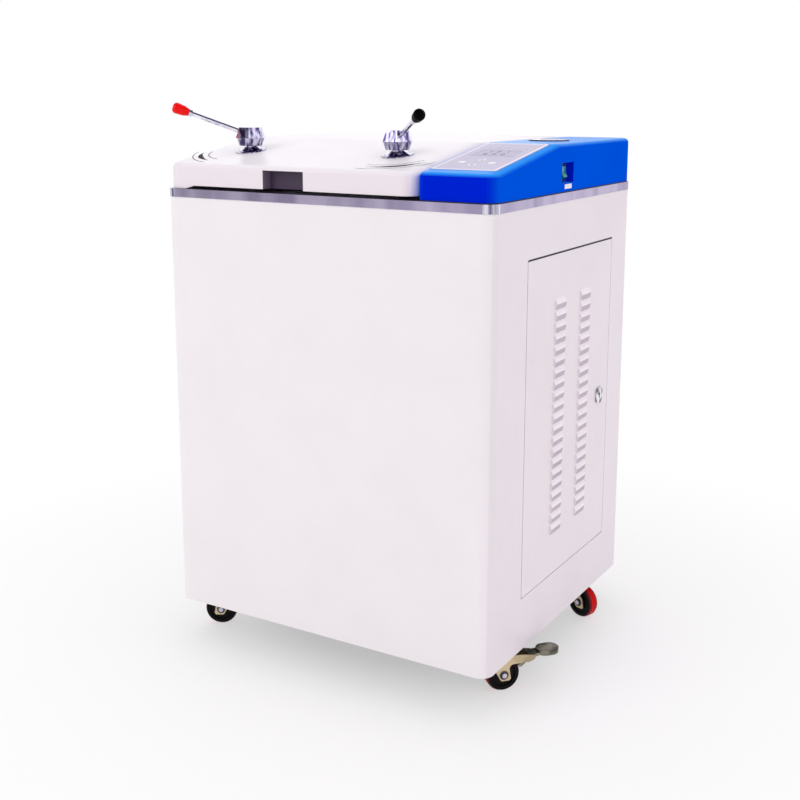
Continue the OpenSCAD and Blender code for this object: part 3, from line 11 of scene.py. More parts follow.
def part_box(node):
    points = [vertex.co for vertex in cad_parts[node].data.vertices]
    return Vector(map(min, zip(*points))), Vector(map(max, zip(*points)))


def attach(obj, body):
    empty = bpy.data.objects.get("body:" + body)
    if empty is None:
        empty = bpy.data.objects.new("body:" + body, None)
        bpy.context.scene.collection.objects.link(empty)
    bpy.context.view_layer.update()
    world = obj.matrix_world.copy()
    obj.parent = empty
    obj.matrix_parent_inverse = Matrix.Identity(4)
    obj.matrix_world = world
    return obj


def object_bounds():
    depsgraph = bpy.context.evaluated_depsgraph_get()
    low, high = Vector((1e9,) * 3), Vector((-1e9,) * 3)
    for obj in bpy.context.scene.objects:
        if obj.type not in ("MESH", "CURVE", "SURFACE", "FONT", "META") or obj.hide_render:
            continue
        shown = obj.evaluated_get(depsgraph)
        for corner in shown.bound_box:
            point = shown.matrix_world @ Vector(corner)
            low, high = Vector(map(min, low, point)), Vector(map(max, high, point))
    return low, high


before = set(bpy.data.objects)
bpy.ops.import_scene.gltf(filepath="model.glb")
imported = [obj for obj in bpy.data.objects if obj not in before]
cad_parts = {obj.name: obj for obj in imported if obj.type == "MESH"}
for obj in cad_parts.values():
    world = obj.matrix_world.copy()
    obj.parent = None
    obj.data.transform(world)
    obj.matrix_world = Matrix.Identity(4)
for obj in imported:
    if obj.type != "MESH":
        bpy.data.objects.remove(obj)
cad_low, cad_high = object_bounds()

# Painted cabinet: the wrap-round body, the screwed back panel and the louvered side door.
# Folded steel sheet, powder coated in a warm white with a faint orange peel.
# It stands on the inner frame, and its edges are the folds of the sheet.
MM = 0.001


def tone(code):
    """A colour written as six hex digits, as the shader wants it."""
    parts = [int(code[i:i + 2], 16) / 255 for i in (0, 2, 4)]
    return tuple(((p + 0.055) / 1.055) ** 2.4 if p > 0.04045 else p / 12.92 for p in parts) + (1.0,)


def node_group(name, inputs, outputs):
    """An empty effect with named sockets, and the nodes at its two ends."""
    tree = bpy.data.node_groups.new(name, "ShaderNodeTree")
    for label, value in inputs.items():
        kind = "NodeSocketFloat" if isinstance(value, float) else "NodeSocketVector"
        if not isinstance(value, float) and len(value) == 4:
            kind = "NodeSocketColor"
        socket = tree.interface.new_socket(label, in_out="INPUT", socket_type=kind)
        socket.default_value = value
    for label, kind in outputs.items():
        tree.interface.new_socket(label, in_out="OUTPUT", socket_type="NodeSocket" + kind)
    return tree, tree.nodes.new("NodeGroupInput"), tree.nodes.new("NodeGroupOutput")


def node(tree, kind, links=(), **values):
    """A node with its settings, its plain socket values and what is linked into it."""
    made = tree.nodes.new(kind)
    for key, value in values.items():
        if hasattr(made, key):
            setattr(made, key, value)
        else:
            made.inputs[key.replace("_", " ")].default_value = value
    for socket, source in links:
        tree.links.new(source, made.inputs[socket])
    return made


# Effect: pebbled surface of powder coat or moulded plastic
grain_group, grain_in, grain_out = node_group(
    "surface_grain", {"Scale": 600.0, "Strength": 0.2}, {"Normal": "Vector"})
grain_place = node(grain_group, "ShaderNodeTexCoord")
grain_noise = node(grain_group, "ShaderNodeTexNoise", [
    ("Vector", grain_place.outputs["Object"]), ("Scale", grain_in.outputs["Scale"])], Detail=2.0)
grain_bump = node(grain_group, "ShaderNodeBump", [
    ("Height", grain_noise.outputs["Fac"]), ("Strength", grain_in.outputs["Strength"])], Distance=0.0004)
grain_group.links.new(grain_bump.outputs["Normal"], grain_out.inputs["Normal"])

# Effect: use, as clouds of faint dulling and a little soil in them
use_group, use_in, use_out = node_group(
    "signs_of_use",
    {"Color": (0.8, 0.8, 0.8, 1.0), "Soil": (0.5, 0.5, 0.5, 1.0), "Amount": 0.1, "Scale": 7.0,
     "Roughness": 0.4, "Spread": 0.1},
    {"Color": "Color", "Roughness": "Float"})
use_place = node(use_group, "ShaderNodeTexCoord")
use_cloud = node(use_group, "ShaderNodeTexNoise", [
    ("Vector", use_place.outputs["Object"]), ("Scale", use_in.outputs["Scale"])],
    Detail=6.0, Roughness=0.62)
use_mask = node(use_group, "ShaderNodeMapRange", [("Value", use_cloud.outputs["Fac"])],
                From_Min=0.42, From_Max=0.72)
use_share = node(use_group, "ShaderNodeMath", [
    (0, use_mask.outputs["Result"]), (1, use_in.outputs["Amount"])], operation="MULTIPLY")
use_mix = node(use_group, "ShaderNodeMixRGB", [
    ("Fac", use_share.outputs["Value"]), ("Color1", use_in.outputs["Color"]),
    ("Color2", use_in.outputs["Soil"])])
use_rough = node(use_group, "ShaderNodeMath", [
    (0, use_mask.outputs["Result"]), (1, use_in.outputs["Spread"]), (2, use_in.outputs["Roughness"])],
    operation="MULTIPLY_ADD")
use_group.links.new(use_mix.outputs["Color"], use_out.inputs["Color"])
use_group.links.new(use_rough.outputs["Value"], use_out.inputs["Roughness"])

# Effect: a colour along edges, for rubbed coat and for a painted highlight along rounded edges
edge_group, edge_in, edge_out = node_group(
    "edge_wear_and_highlight",
    {"Color": (0.8, 0.8, 0.8, 1.0), "Worn": (0.6, 0.6, 0.6, 1.0), "Radius": 0.0015, "Amount": 0.4},
    {"Color": "Color"})
edge_round = node(edge_group, "ShaderNodeBevel", [("Radius", edge_in.outputs["Radius"])], samples=4)
edge_true = node(edge_group, "ShaderNodeNewGeometry")
edge_dot = node(edge_group, "ShaderNodeVectorMath", [
    (0, edge_round.outputs["Normal"]), (1, edge_true.outputs["Normal"])], operation="DOT_PRODUCT")
edge_near = node(edge_group, "ShaderNodeMapRange", [("Value", edge_dot.outputs["Value"])],
                 From_Min=0.99, From_Max=0.86)
edge_place = node(edge_group, "ShaderNodeTexCoord")
edge_break = node(edge_group, "ShaderNodeTexNoise", [("Vector", edge_place.outputs["Object"])],
                  Scale=60.0, Detail=5.0)
edge_some = node(edge_group, "ShaderNodeMapRange", [("Value", edge_break.outputs["Fac"])],
                 From_Min=0.4, From_Max=0.65)
edge_mask = node(edge_group, "ShaderNodeMath", [
    (0, edge_near.outputs["Result"]), (1, edge_some.outputs["Result"])], operation="MULTIPLY")
edge_share = node(edge_group, "ShaderNodeMath", [
    (0, edge_mask.outputs["Value"]), (1, edge_in.outputs["Amount"])], operation="MULTIPLY")
edge_mix = node(edge_group, "ShaderNodeMixRGB", [
    ("Fac", edge_share.outputs["Value"]), ("Color1", edge_in.outputs["Color"]),
    ("Color2", edge_in.outputs["Worn"])])
edge_group.links.new(edge_mix.outputs["Color"], edge_out.inputs["Color"])


def finish(name, **sockets):
    """A material with one Principled shader and its plain values."""
    material = bpy.data.materials.new(name)
    material.use_nodes = True
    shader = material.node_tree.nodes["Principled BSDF"]
    for socket, value in sockets.items():
        shader.inputs[socket.replace("_", " ")].default_value = value
    return material, shader


def effect(material, group, links=(), **values):
    """Places an effect in a material with that material's own values."""
    made = material.node_tree.nodes.new("ShaderNodeGroup")
    made.node_tree = group
    for key, value in values.items():
        made.inputs[key].default_value = value
    for socket, source in links:
        material.node_tree.links.new(source, made.inputs[socket])
    return made.outputs


def coated(name, color, soil, roughness, grain, grain_scale, worn_and_lit=None, soil_share=0.1, **sockets):
    """Paint or moulded plastic: colour with signs of use, edges in a colour of their own (rubbed coat on
    paint, a painted highlight on the blue plastic), and a pebbled surface.
    """
    material, shader = finish(name, **sockets)
    links = material.node_tree.links
    used = effect(material, use_group, Color=tone(color), Soil=tone(soil), Amount=soil_share,
                  Roughness=roughness, Spread=0.1)
    shade = used["Color"]
    if worn_and_lit:
        shade = effect(material, edge_group, [("Color", shade)], Worn=tone(worn_and_lit))["Color"]
    links.new(shade, shader.inputs["Base Color"])
    links.new(used["Roughness"], shader.inputs["Roughness"])
    pebbles = effect(material, grain_group, Scale=grain_scale, Strength=grain)
    links.new(pebbles["Normal"], shader.inputs["Normal"])
    return material


def dress(material, *names):
    """Gives the finish to construction parts as they are."""
    for name in names:
        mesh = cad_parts[name].data
        mesh.materials.clear()
        mesh.materials.append(material)


def second_finish(name, material, chosen):
    """Gives a finish to those faces of a construction part that are in the chosen place."""
    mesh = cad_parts[name].data
    mesh.materials.append(material)
    for face in mesh.polygons:
        if chosen(face):
            face.material_index = len(mesh.materials) - 1


# Roughness of the powder coat, and the strength and fineness of its orange peel
powder_coat = (0.36, 0.05, 700.0)
cured = {"soil_share": 0.12, "Coat_Weight": 0.15, "Coat_Roughness": 0.25}
body_paint = coated("body_paint", "f2ecf0", "d9d2d2", *powder_coat, worn_and_lit="fbf9fa", **cured)
dress(body_paint, "cabinet_shell", "rear_panel", "side_door")

# The upper half of each louver is painted lighter as painted light, and the lower half darker as painted
# shade.
louver_painted_light = coated("louver_painted_light", "fffafd", "f0e9ee", *powder_coat, soil_share=0.1)
louver_painted_shade = coated("louver_painted_shade", "c8bac8", "b0a3b4", 0.45, 0.05, 700.0, soil_share=0.3)

# The front is painted a shade paler than the sides, as painted light.
# The two shades meet at the middle of the corner fold.
front_painted_light = coated("front_painted_light", "f7f3f5", "ded8d8", *powder_coat, worn_and_lit="fdfcfc", **cured)
fold_middle = -0.7
second_finish("cabinet_shell", front_painted_light, lambda face: face.normal.y < fold_middle)

shell_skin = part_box("cabinet_shell")[1].x
louver_rise = 0.3 * MM
louver_skin = shell_skin + louver_rise
louver_tilt = 0.1
louver_open = 0.2
second_finish("side_door", louver_painted_shade, lambda face: face.center.x > louver_skin
              and face.normal.z < -louver_tilt and face.normal.x > louver_open)
second_finish("side_door", louver_painted_light, lambda face: face.center.x > louver_skin
              and face.normal.z > louver_tilt)

# Shadow over the door: a thin black strip on the upper edge of its opening, painted shadow along the
# gap.
# The door swings clear under it.
door_shadow_h = 3.2
door_shadow_gap = 0.3
door_shadow_in = 0.5
door_shadow_t = 0.8


def prisms(name, outlines, thickness, place, body, material):
    """Flat shapes drawn in millimetres, raised by thickness and put where they are fixed."""
    shape = bmesh.new()
    for outline in outlines:
        low = [shape.verts.new((x * MM, y * MM, 0)) for x, y in outline]
        high = [shape.verts.new((x * MM, y * MM, thickness * MM)) for x, y in outline]
        shape.faces.new(low[::-1])
        shape.faces.new(high)
        for i in range(len(outline)):
            j = (i + 1) % len(outline)
            shape.faces.new((low[i], low[j], high[j], high[i]))
    bmesh.ops.recalc_face_normals(shape, faces=shape.faces[:])
    mesh = bpy.data.meshes.new(name)
    shape.to_mesh(mesh)
    shape.free()
    mesh.materials.append(material)
    piece = bpy.data.objects.new(name, mesh)
    bpy.context.scene.collection.objects.link(piece)
    piece.matrix_world = place
    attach(piece, body)


def bar(x0, y0, x1, y1):
    """Outline of an upright rectangle."""
    return [(x0, y0), (x1, y0), (x1, y1), (x0, y1)]


gap_shadow_black = coated("gap_shadow_black", "1a181c", "38353a", 0.6, 0.1, 500.0, soil_share=0.4)
door_low, door_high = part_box("side_door")
facing_right = Euler((math.radians(90), 0, math.radians(90))).to_matrix().to_4x4()
door_shadow_place = Matrix.Translation((shell_skin - door_shadow_in * MM, 0, door_high.z)) @ facing_right
prisms("door_gap_shadow", [bar(door_low.y / MM, door_shadow_gap, door_high.y / MM, door_shadow_h)], door_shadow_t, door_shadow_place,
       "root", gap_shadow_black)

# Cross slots of the eight screws that hold the back panel.
# They are stamped in the flat steel heads, so deep and narrow that they look black.
shadow_black = finish("slot_shadow", Base_Color=tone("0c0c0e"), Roughness=0.8)[0]
back_low, back_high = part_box("rear_panel")
screw_inset = 7.5 * MM
screw_rise = 15 * MM
screw_rows = 4
screw_run = back_high.z - back_low.z - 2 * screw_rise
slot_arm = 2.2
slot_half = 0.4
slot_t = 0.06
cross = []
quarter = [(-slot_arm, -slot_half), (-slot_half, -slot_half), (-slot_half, -slot_arm)]
for turn in range(4):
    cross += quarter
    quarter = [(-y, x) for x, y in quarter]
facing_back = Euler((math.radians(-90), 0, 0)).to_matrix().to_4x4()
for side_name, side in (("left", -1), ("right", 1)):
    for row in range(screw_rows):
        spot = Vector((side * (back_high.x - screw_inset), back_high.y,
                       back_low.z + screw_rise + row * screw_run / (screw_rows - 1)))
        prisms(f"screw_slot_{side_name}_{row}", [cross], slot_t, Matrix.Translation(spot) @ facing_back,
               "root", shadow_black)

# Inner frame: welded square tube with the floor pan and the caster pads.
# Mild steel in a dark grey powder coat, hidden by the cabinet except from below.
frame_paint = coated("frame_paint", "55575b", "3c3a38", 0.5, 0.08, 500.0, worn_and_lit="8a8c90", soil_share=0.3)
dress(frame_paint, "frame")

# Steel deck whose folded rim is the polished band under the mouldings.
# Stainless sheet, polished along its length, with soft bright and dull streaks that are partly polishing
# marks and partly painted reflection.
# At each corner the band shows the bend as a row of tight bright and dark streaks, a painted reflection.
# Effect: fine polishing lines, and wider bright and dark streaks in the colour; strong streaks on plated
# and polished parts are painted reflection.
polish_and_streak_group, brush_in, brush_out = node_group(
    "polish_lines_and_streaks",
    {"Color": (0.7, 0.7, 0.7, 1.0), "Dark": (0.4, 0.4, 0.45, 1.0), "Stretch": (4.0, 4.0, 900.0),
     "Streak": (9.0, 9.0, 0.4), "Amount": 0.3, "Roughness": 0.25, "Spread": 0.12, "Depth": 0.08},
    {"Color": "Color", "Roughness": "Float", "Normal": "Vector"})
brush_place = node(polish_and_streak_group, "ShaderNodeTexCoord")
brush_fine_place = node(polish_and_streak_group, "ShaderNodeVectorMath", [
    (0, brush_place.outputs["Object"]), (1, brush_in.outputs["Stretch"])], operation="MULTIPLY")
brush_fine = node(polish_and_streak_group, "ShaderNodeTexNoise", [("Vector", brush_fine_place.outputs["Vector"])],
                  Scale=1.0, Detail=3.0)
brush_wide_place = node(polish_and_streak_group, "ShaderNodeVectorMath", [
    (0, brush_place.outputs["Object"]), (1, brush_in.outputs["Streak"])], operation="MULTIPLY")
brush_wide = node(polish_and_streak_group, "ShaderNodeTexNoise", [("Vector", brush_wide_place.outputs["Vector"])],
                  Scale=1.0, Detail=2.0)
brush_band = node(polish_and_streak_group, "ShaderNodeMapRange", [("Value", brush_wide.outputs["Fac"])],
                  From_Min=0.38, From_Max=0.62)
brush_share = node(polish_and_streak_group, "ShaderNodeMath", [
    (0, brush_band.outputs["Result"]), (1, brush_in.outputs["Amount"])], operation="MULTIPLY")
brush_mix = node(polish_and_streak_group, "ShaderNodeMixRGB", [
    ("Fac", brush_share.outputs["Value"]), ("Color1", brush_in.outputs["Color"]),
    ("Color2", brush_in.outputs["Dark"])])
brush_rough = node(polish_and_streak_group, "ShaderNodeMath", [
    (0, brush_fine.outputs["Fac"]), (1, brush_in.outputs["Spread"]), (2, brush_in.outputs["Roughness"])],
    operation="MULTIPLY_ADD")
brush_bump = node(polish_and_streak_group, "ShaderNodeBump", [
    ("Height", brush_fine.outputs["Fac"]), ("Strength", brush_in.outputs["Depth"])], Distance=0.0002)
polish_and_streak_group.links.new(brush_mix.outputs["Color"], brush_out.inputs["Color"])
polish_and_streak_group.links.new(brush_rough.outputs["Value"], brush_out.inputs["Roughness"])
polish_and_streak_group.links.new(brush_bump.outputs["Normal"], brush_out.inputs["Normal"])


def metal(name, color, dark, roughness, stretch=(4.0, 4.0, 900.0), streak=(9.0, 9.0, 0.4),
          amount=0.3, depth=0.08, spread=0.12):
    """Bare metal with the lines of its polishing and wider bright and dark streaks, which on plated and
    polished parts are painted reflection.
    """
    material, shader = finish(name, Metallic=1.0)
    lines = effect(material, polish_and_streak_group, Color=tone(color), Dark=tone(dark), Stretch=stretch,
                   Streak=streak, Amount=amount, Roughness=roughness, Spread=spread, Depth=depth)
    for socket, source in (("Base Color", "Color"), ("Roughness", "Roughness"), ("Normal", "Normal")):
        material.node_tree.links.new(lines[source], shader.inputs[socket])
    return material


polished_steel = metal("polished_steel", "c2b9d2", "958bab", 0.16, stretch=(30.0, 30.0, 1200.0),
                       streak=(17.0, 17.0, 1.5), amount=0.8, depth=0.04)
dress(polished_steel, "top_deck")
deck_steel = metal("deck_steel", "cdcad6", "aeaab8", 0.22, stretch=(4.0, 900.0, 4.0),
                   streak=(3.0, 30.0, 3.0), amount=0.4, depth=0.05)
lies_level = 0.9
second_finish("top_deck", deck_steel, lambda face: face.normal.z > lies_level)
corner_steel_painted_reflection = metal("corner_steel_painted_reflection", "ece8f6", "5c567c", 0.14, stretch=(30.0, 30.0, 1200.0),
                     streak=(130.0, 130.0, 1.5), amount=1.0, depth=0.04)
corner_turn = 0.12
stands_up = 0.5
second_finish("top_deck", corner_steel_painted_reflection, lambda face: abs(face.normal.z) < stands_up
              and min(abs(face.normal.x), abs(face.normal.y)) > corner_turn)

# Pressure vessel with its dished lid, perforated plate, basket and bail.
# Stainless steel, turned or spun, so its polishing lines run round the vertical axis.
brushed_steel = metal("brushed_steel", "c9c9cd", "8f9096", 0.24, stretch=(6.0, 6.0, 1400.0),
                      streak=(3.0, 3.0, 30.0), amount=0.4)
dress(brushed_steel, "pressure_vessel", "pressure_lid", "support_plate")
bright_steel = metal("bright_steel", "d8d8dc", "9a9aa2", 0.14, stretch=(40.0, 40.0, 900.0),
                     streak=(20.0, 20.0, 8.0), amount=0.35)
dress(bright_steel, "basket", "basket_bail", "door_pins", "hinge_pin", "left_spindle", "right_spindle")
heater_steel = metal("heater_steel", "7a726c", "3d3733", 0.42, stretch=(80.0, 80.0, 80.0),
                     streak=(25.0, 25.0, 25.0), amount=0.7)
dress(heater_steel, "heating_element")

# Insulation round the vessel: mineral wool in a crinkled aluminium foil.
# It is wrapped and taped, so the foil stands in small sharp creases.
foil, foil_shader = finish("foil", Base_Color=tone("c9ccd1"), Metallic=1.0, Roughness=0.3)
foil_place = node(foil.node_tree, "ShaderNodeTexCoord")
foil_crease = node(foil.node_tree, "ShaderNodeTexVoronoi", [("Vector", foil_place.outputs["Object"])],
                   Scale=55.0, feature="DISTANCE_TO_EDGE")
foil_bump = node(foil.node_tree, "ShaderNodeBump", [("Height", foil_crease.outputs["Distance"])],
                 Strength=0.9, Distance=0.004)
foil.node_tree.links.new(foil_bump.outputs["Normal"], foil_shader.inputs["Normal"])
dress(foil, "insulation_jacket")

# Seal of the pressure lid: a pale silicone ring.
# It is moulded in one piece and pressed into the groove of the lid.
gasket_rubber = coated("gasket_rubber", "d8d4c8", "b9b2a2", 0.55, 0.1, 300.0, soil_share=0.3)
dress(gasket_rubber, "lid_gasket")

# Pipes and valves: brass bodies, red dipped levers, a black solenoid and a milky bottle.
# They hang on the vessel's ports inside the cabinet, and the drain valve stands out behind.
all_ways = (60.0, 60.0, 60.0)
brass = metal("brass", "d0a94e", "8c6a2e", 0.26, stretch=all_ways, streak=(14.0, 14.0, 14.0), amount=0.5)
dress(brass, "drain_valve", "safety_valve")
red_plastic = coated("red_plastic", "f60202", "a00404", 0.2, 0.02, 300.0, Coat_Roughness=0.05,
                     Coat_Weight=0.2, Specular_IOR_Level=0.3, Specular_Tint=(1.0, 0.25, 0.2, 1.0))
dress(red_plastic, "drain_lever", "safety_lever", "left_lever_knob")
black_plastic = coated("black_plastic", "0b0b0d", "26262a", 0.3, 0.08, 900.0, soil_share=0.3)
dress(black_plastic, "exhaust_valve", "power_relay", "power_inlet", "switch_frame")
black_grip = coated("black_grip", "020203", "0c0c0e", 0.45, 0.03, 500.0, Specular_IOR_Level=0.05)
dress(black_grip, "right_lever_knob")
translucent_plastic, bottle_shader = finish(
    "translucent_plastic", Base_Color=tone("eef1f2"), Roughness=0.35, Transmission_Weight=0.55,
    IOR=1.46)
bottle_grain = effect(translucent_plastic, grain_group, Scale=200.0, Strength=0.1)
translucent_plastic.node_tree.links.new(bottle_grain["Normal"], bottle_shader.inputs["Normal"])
dress(translucent_plastic, "condensate_bottle")

# Electrical plate and hinge bracket of zinc plated sheet, and the green circuit board.
# The board is printed with tracks and stands on the plate.
zinc = metal("zinc", "b9bcc0", "7f858c", 0.36, stretch=(50.0, 50.0, 50.0), streak=(22.0, 22.0, 22.0),
             amount=0.6)
dress(zinc, "electrical_plate", "hinge_bracket")
board, board_shader = finish("board", Roughness=0.35)
board_place = node(board.node_tree, "ShaderNodeTexCoord")
board_tracks = node(board.node_tree, "ShaderNodeTexBrick", [("Vector", board_place.outputs["Object"])],
                    Scale=90.0, Color1=tone("14663a"), Color2=tone("0f5530"), Mortar=tone("2d8a52"))
board.node_tree.links.new(board_tracks.outputs["Color"], board_shader.inputs["Base Color"])
dress(board, "control_board")

# Ring plate that carries the pressure lid, with the spindle bearings and the hinge straps.
# Cut from 8 mm plate and painted grey, since it is hidden under the moulded cover.
dress(frame_paint, "lid_arm")

# Moulded lid cover: glossy white plastic with a finger recess in its front.
# A thin shell with rounded upper edges, which lifts with the pressure lid.
# Its front faces are painted a shade darker than its top as painted shade, and the recess is painted
# darker still as painted shadow.
# Roughness of the glossy plastic, and the strength and fineness of its moulded surface
gloss = (0.34, 0.015, 240.0)
lid_coat = {"soil_share": 0.08, "Coat_Weight": 0.1, "Coat_Roughness": 0.3}
white_plastic = coated("white_plastic", "f9f6f9", "e6e0e4", *gloss, **lid_coat)
recess_painted_shadow = coated("recess_painted_shadow", "54445f", "3a2c3c", 0.5, 0.05, 500.0, soil_share=0.5)
dress(white_plastic, "lid_cover")
lid_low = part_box("lid_cover")[0]
lid_mid_x = (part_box("left_spindle")[0].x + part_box("right_spindle")[1].x) / 2
recess_half = 43 * MM
recess_deep = 25 * MM
recess_high = 47 * MM
recess_top = lid_low.z + recess_high
skin = 1.5 * MM
lid_rim_painted_shade = coated("lid_rim_painted_shade", "f2eaef", "e0d8de", *gloss, **lid_coat)
lid_fold_painted_shade = coated("lid_fold_painted_shade", "f6f1f5", "e4dde2", *gloss, **lid_coat)
fold_turn = -0.5
rim_turn = -0.85
for shade, turned in ((lid_fold_painted_shade, fold_turn), (lid_rim_painted_shade, rim_turn)):
    second_finish("lid_cover", shade, lambda face: face.normal.y < turned
                  and face.center.y < lid_low.y + recess_deep)

# The wall of the recess that faces right is painted less dark, as painted shade that catches some light.
recess_wall_painted_shade = coated("recess_wall_painted_shade", "8c7e96", "6c5f74", 0.5, 0.05, 500.0, soil_share=0.4)
any_turn = -1.5
wall_turn = 0.7
for shade, turned in ((recess_painted_shadow, any_turn), (recess_wall_painted_shade, wall_turn)):
    second_finish("lid_cover", shade, lambda face: abs(face.center.x - lid_mid_x) < recess_half
                  and lid_low.y + skin < face.center.y < lid_low.y + recess_deep
                  and face.center.z < recess_top and face.normal.x > turned)

# Marks printed on the lid round each lever: two thin arcs with a bold crescent between them.
# Black ink on the slope, centred on the side that the lever swings to.
slope_rise = 37
slope_run = 225
slope = math.atan2(slope_rise, slope_run)
panel_low, panel_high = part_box("membrane_panel")
panel_mid = (panel_low + panel_high) / 2
slope_normal = Vector((0, -math.sin(slope), math.cos(slope)))
panel_sink = 0.25 * MM


def on_slope(x, y, lift):
    """Place on the sloping front of the mouldings: X to the right, Y up the slope."""
    foot = panel_mid + slope_normal * panel_sink
    z = foot.z + (y - foot.y) * math.tan(slope)
    return Matrix.Translation(Vector((x, y, z)) + slope_normal * lift) @ Matrix.Rotation(slope, 4, "X")


def polar(r, degrees):
    """Point on a circle about the origin of a flat shape."""
    return (r * math.cos(math.radians(degrees)), r * math.sin(math.radians(degrees)))


def arc_band(r, width, start, end, steps=40):
    """Outline of a band along an arc, whose width is a number or a function of its run."""
    outer, inner = [], []
    for i in range(steps + 1):
        share = i / steps
        half = (width(share) if callable(width) else width) / 2
        angle = start + (end - start) * share
        outer.append(polar(r + half, angle))
        inner.append(polar(r - half, angle))
    return outer + inner[::-1]


mark_ink = coated("mark_ink", "08080c", "1c1c22", 0.5, 0.02, 300.0, Specular_IOR_Level=0.2)
mark_outer_r = 106
mark_bold_r = 92
mark_inner_r = 77
mark_thin = 1.7
mark_bold = 9
mark_tip = 0.3
bold_inset = 3
ink_t = 0.08
ink_lift = -0.02 * MM


def crescent(share):
    """Width of the bold mark along its run, from one tip to the other."""
    return mark_tip + mark_bold * math.sin(math.pi * share) ** 1.5


# Direction of the middle of each mark, and its reach to both sides, in degrees
for name, mid, reach in (("left", -135.5, 31), ("right", -62, 38)):
    head_low, head_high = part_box(f"{name}_lever_head")
    head_mid = (head_low + head_high) / 2
    start, end = mid - reach, mid + reach
    arcs = [arc_band(mark_outer_r, mark_thin, start, end),
            arc_band(mark_inner_r, mark_thin, start, end),
            arc_band(mark_bold_r, crescent, start + bold_inset, end - bold_inset)]
    prisms(f"{name}_lever_marks", arcs, ink_t, on_slope(head_mid.x, head_mid.y, ink_lift), "lid",
           mark_ink)

# Locking levers: chromed brass heads with flutes and a hexagon, steel rods and plastic grips.
# The heads are cast and polished; they mirror the room's bands, and narrow dark and bright bands are
# also painted into their colour as a painted reflection.
# The rods mirror the bright floor and the darker room, and their colour is also painted pale on faces
# turned down and dark on faces turned up, as a painted reflection.
head_edge = 0.7 * MM
weld_reach = 0.000002
sharp_angle = 38


def soften(width, *names):
    """Breaks the sharp edges of construction parts, as a deburred or folded edge is."""
    for name in names:
        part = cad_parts[name]
        part.modifiers.new("joined_faces", "WELD").merge_threshold = weld_reach
        bevel = part.modifiers.new("soft_edges", "BEVEL")
        bevel.width = width
        bevel.segments = 2
        bevel.limit_method = "ANGLE"
        bevel.angle_limit = math.radians(sharp_angle)
        bevel.harden_normals = True


def facing(tree, axis, start, end):
    """Mask that rises from 0 to 1 while a surface turns its face along an axis."""
    turn = node(tree, "ShaderNodeNewGeometry")
    way = node(tree, "ShaderNodeSeparateXYZ", [("Vector", turn.outputs["Normal"])])
    mask = node(tree, "ShaderNodeMapRange", [("Value", way.outputs[axis])], From_Min=start, From_Max=end)
    return mask.outputs["Result"]


def placed(material, group):
    """The node by which a material uses an effect."""
    return next(n for n in material.node_tree.nodes if n.type == "GROUP" and n.node_tree == group)


plated = {"stretch": all_ways, "depth": 0.02, "spread": 0.05}
chrome = metal("chrome", "d2cde4", "47406a", 0.08, streak=(170.0, 170.0, 3.0), amount=1.0, **plated)
bright_chrome = metal("bright_chrome", "eeecf4", "a49dbc", 0.06, streak=all_ways, amount=0.5, **plated)
dress(chrome, "left_lever_head", "right_lever_head", "lever_escutcheons")
rod_tree = bright_chrome.node_tree
rod_painted_reflection = node(rod_tree, "ShaderNodeMixRGB", [("Fac", facing(rod_tree, "Z", 0.1, 0.5))],
                 Color1=tone("f4f2f8"), Color2=tone("6a6790"))
rod_tree.links.new(rod_painted_reflection.outputs["Color"], placed(bright_chrome, polish_and_streak_group).inputs["Color"])
dress(bright_chrome, "left_lever_rod", "right_lever_rod")
soften(head_edge, "left_lever_head", "right_lever_head")

# Control housing: blue moulded plastic beside the lid, with the slope, the gauge and the switch.
# The blue is painted deeper on the front and paler on the sides as painted shade, and azure on upward
# faces and along rounded edges as a painted highlight.
blue_plastic = coated("blue_plastic", "0024cc", "001d9c", 0.2, 0.02, 500.0, worn_and_lit="2a9cff",
                      soil_share=0.08, Specular_IOR_Level=0.0, Coat_IOR=1.11, Coat_Roughness=0.25)
blue_tree = blue_plastic.node_tree
blue_painted_shade = node(blue_tree, "ShaderNodeMixRGB", [("Fac", facing(blue_tree, "Y", -0.95, -0.3))],
                  Color1=tone("0024d6"), Color2=tone("0059ea"))
blue_rise = facing(blue_tree, "Z", 0.35, 0.9)
blue_painted_highlight = node(blue_tree, "ShaderNodeMixRGB", [
    ("Fac", blue_rise), ("Color1", blue_painted_shade.outputs["Color"])], Color2=tone("2f9cff"))
blue_tree.links.new(blue_painted_highlight.outputs["Color"], placed(blue_plastic, use_group).inputs["Color"])
blue_tree.links.new(blue_rise, blue_tree.nodes["Principled BSDF"].inputs["Coat Weight"])
dress(blue_plastic, "control_housing")

# Black strip under the housing's foot, standing out a little all round: painted shadow along its joint
# with the deck.
# It follows the outline of the foot, corner by corner.
foot_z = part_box("control_housing")[0].z
foot_reach = 0.1 * MM
foot = [v.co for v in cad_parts["control_housing"].data.vertices if v.co.z < foot_z + foot_reach]
outline = convex_hull_2d([v.xy for v in foot])
rim = [foot[i] / MM for i in outline]
foot_shadow_out = 0.35
foot_shadow_in = 0.6
foot_shadow_h = 1.3
foot_shadow = []

# One strip along each side of the foot, with its ends cut at half the turn of the corners
for i in range(len(rim)):
    before, here, after, beyond = (rim[(i + k) % len(rim)].xy for k in (-1, 0, 1, 2))
    turns = []
    for a, b, c in ((before, here, after), (here, after, beyond)):
        way = (b - a).normalized() + (c - b).normalized()
        turns.append(Vector((way.y, -way.x)).normalized())
    foot_shadow.append([tuple(here + turns[0] * foot_shadow_out), tuple(after + turns[1] * foot_shadow_out),
                tuple(after - turns[1] * foot_shadow_in), tuple(here - turns[0] * foot_shadow_in)])
prisms("housing_foot_shadow", foot_shadow, foot_shadow_h, Matrix.Translation((0, 0, foot_z)), "root", gap_shadow_black)

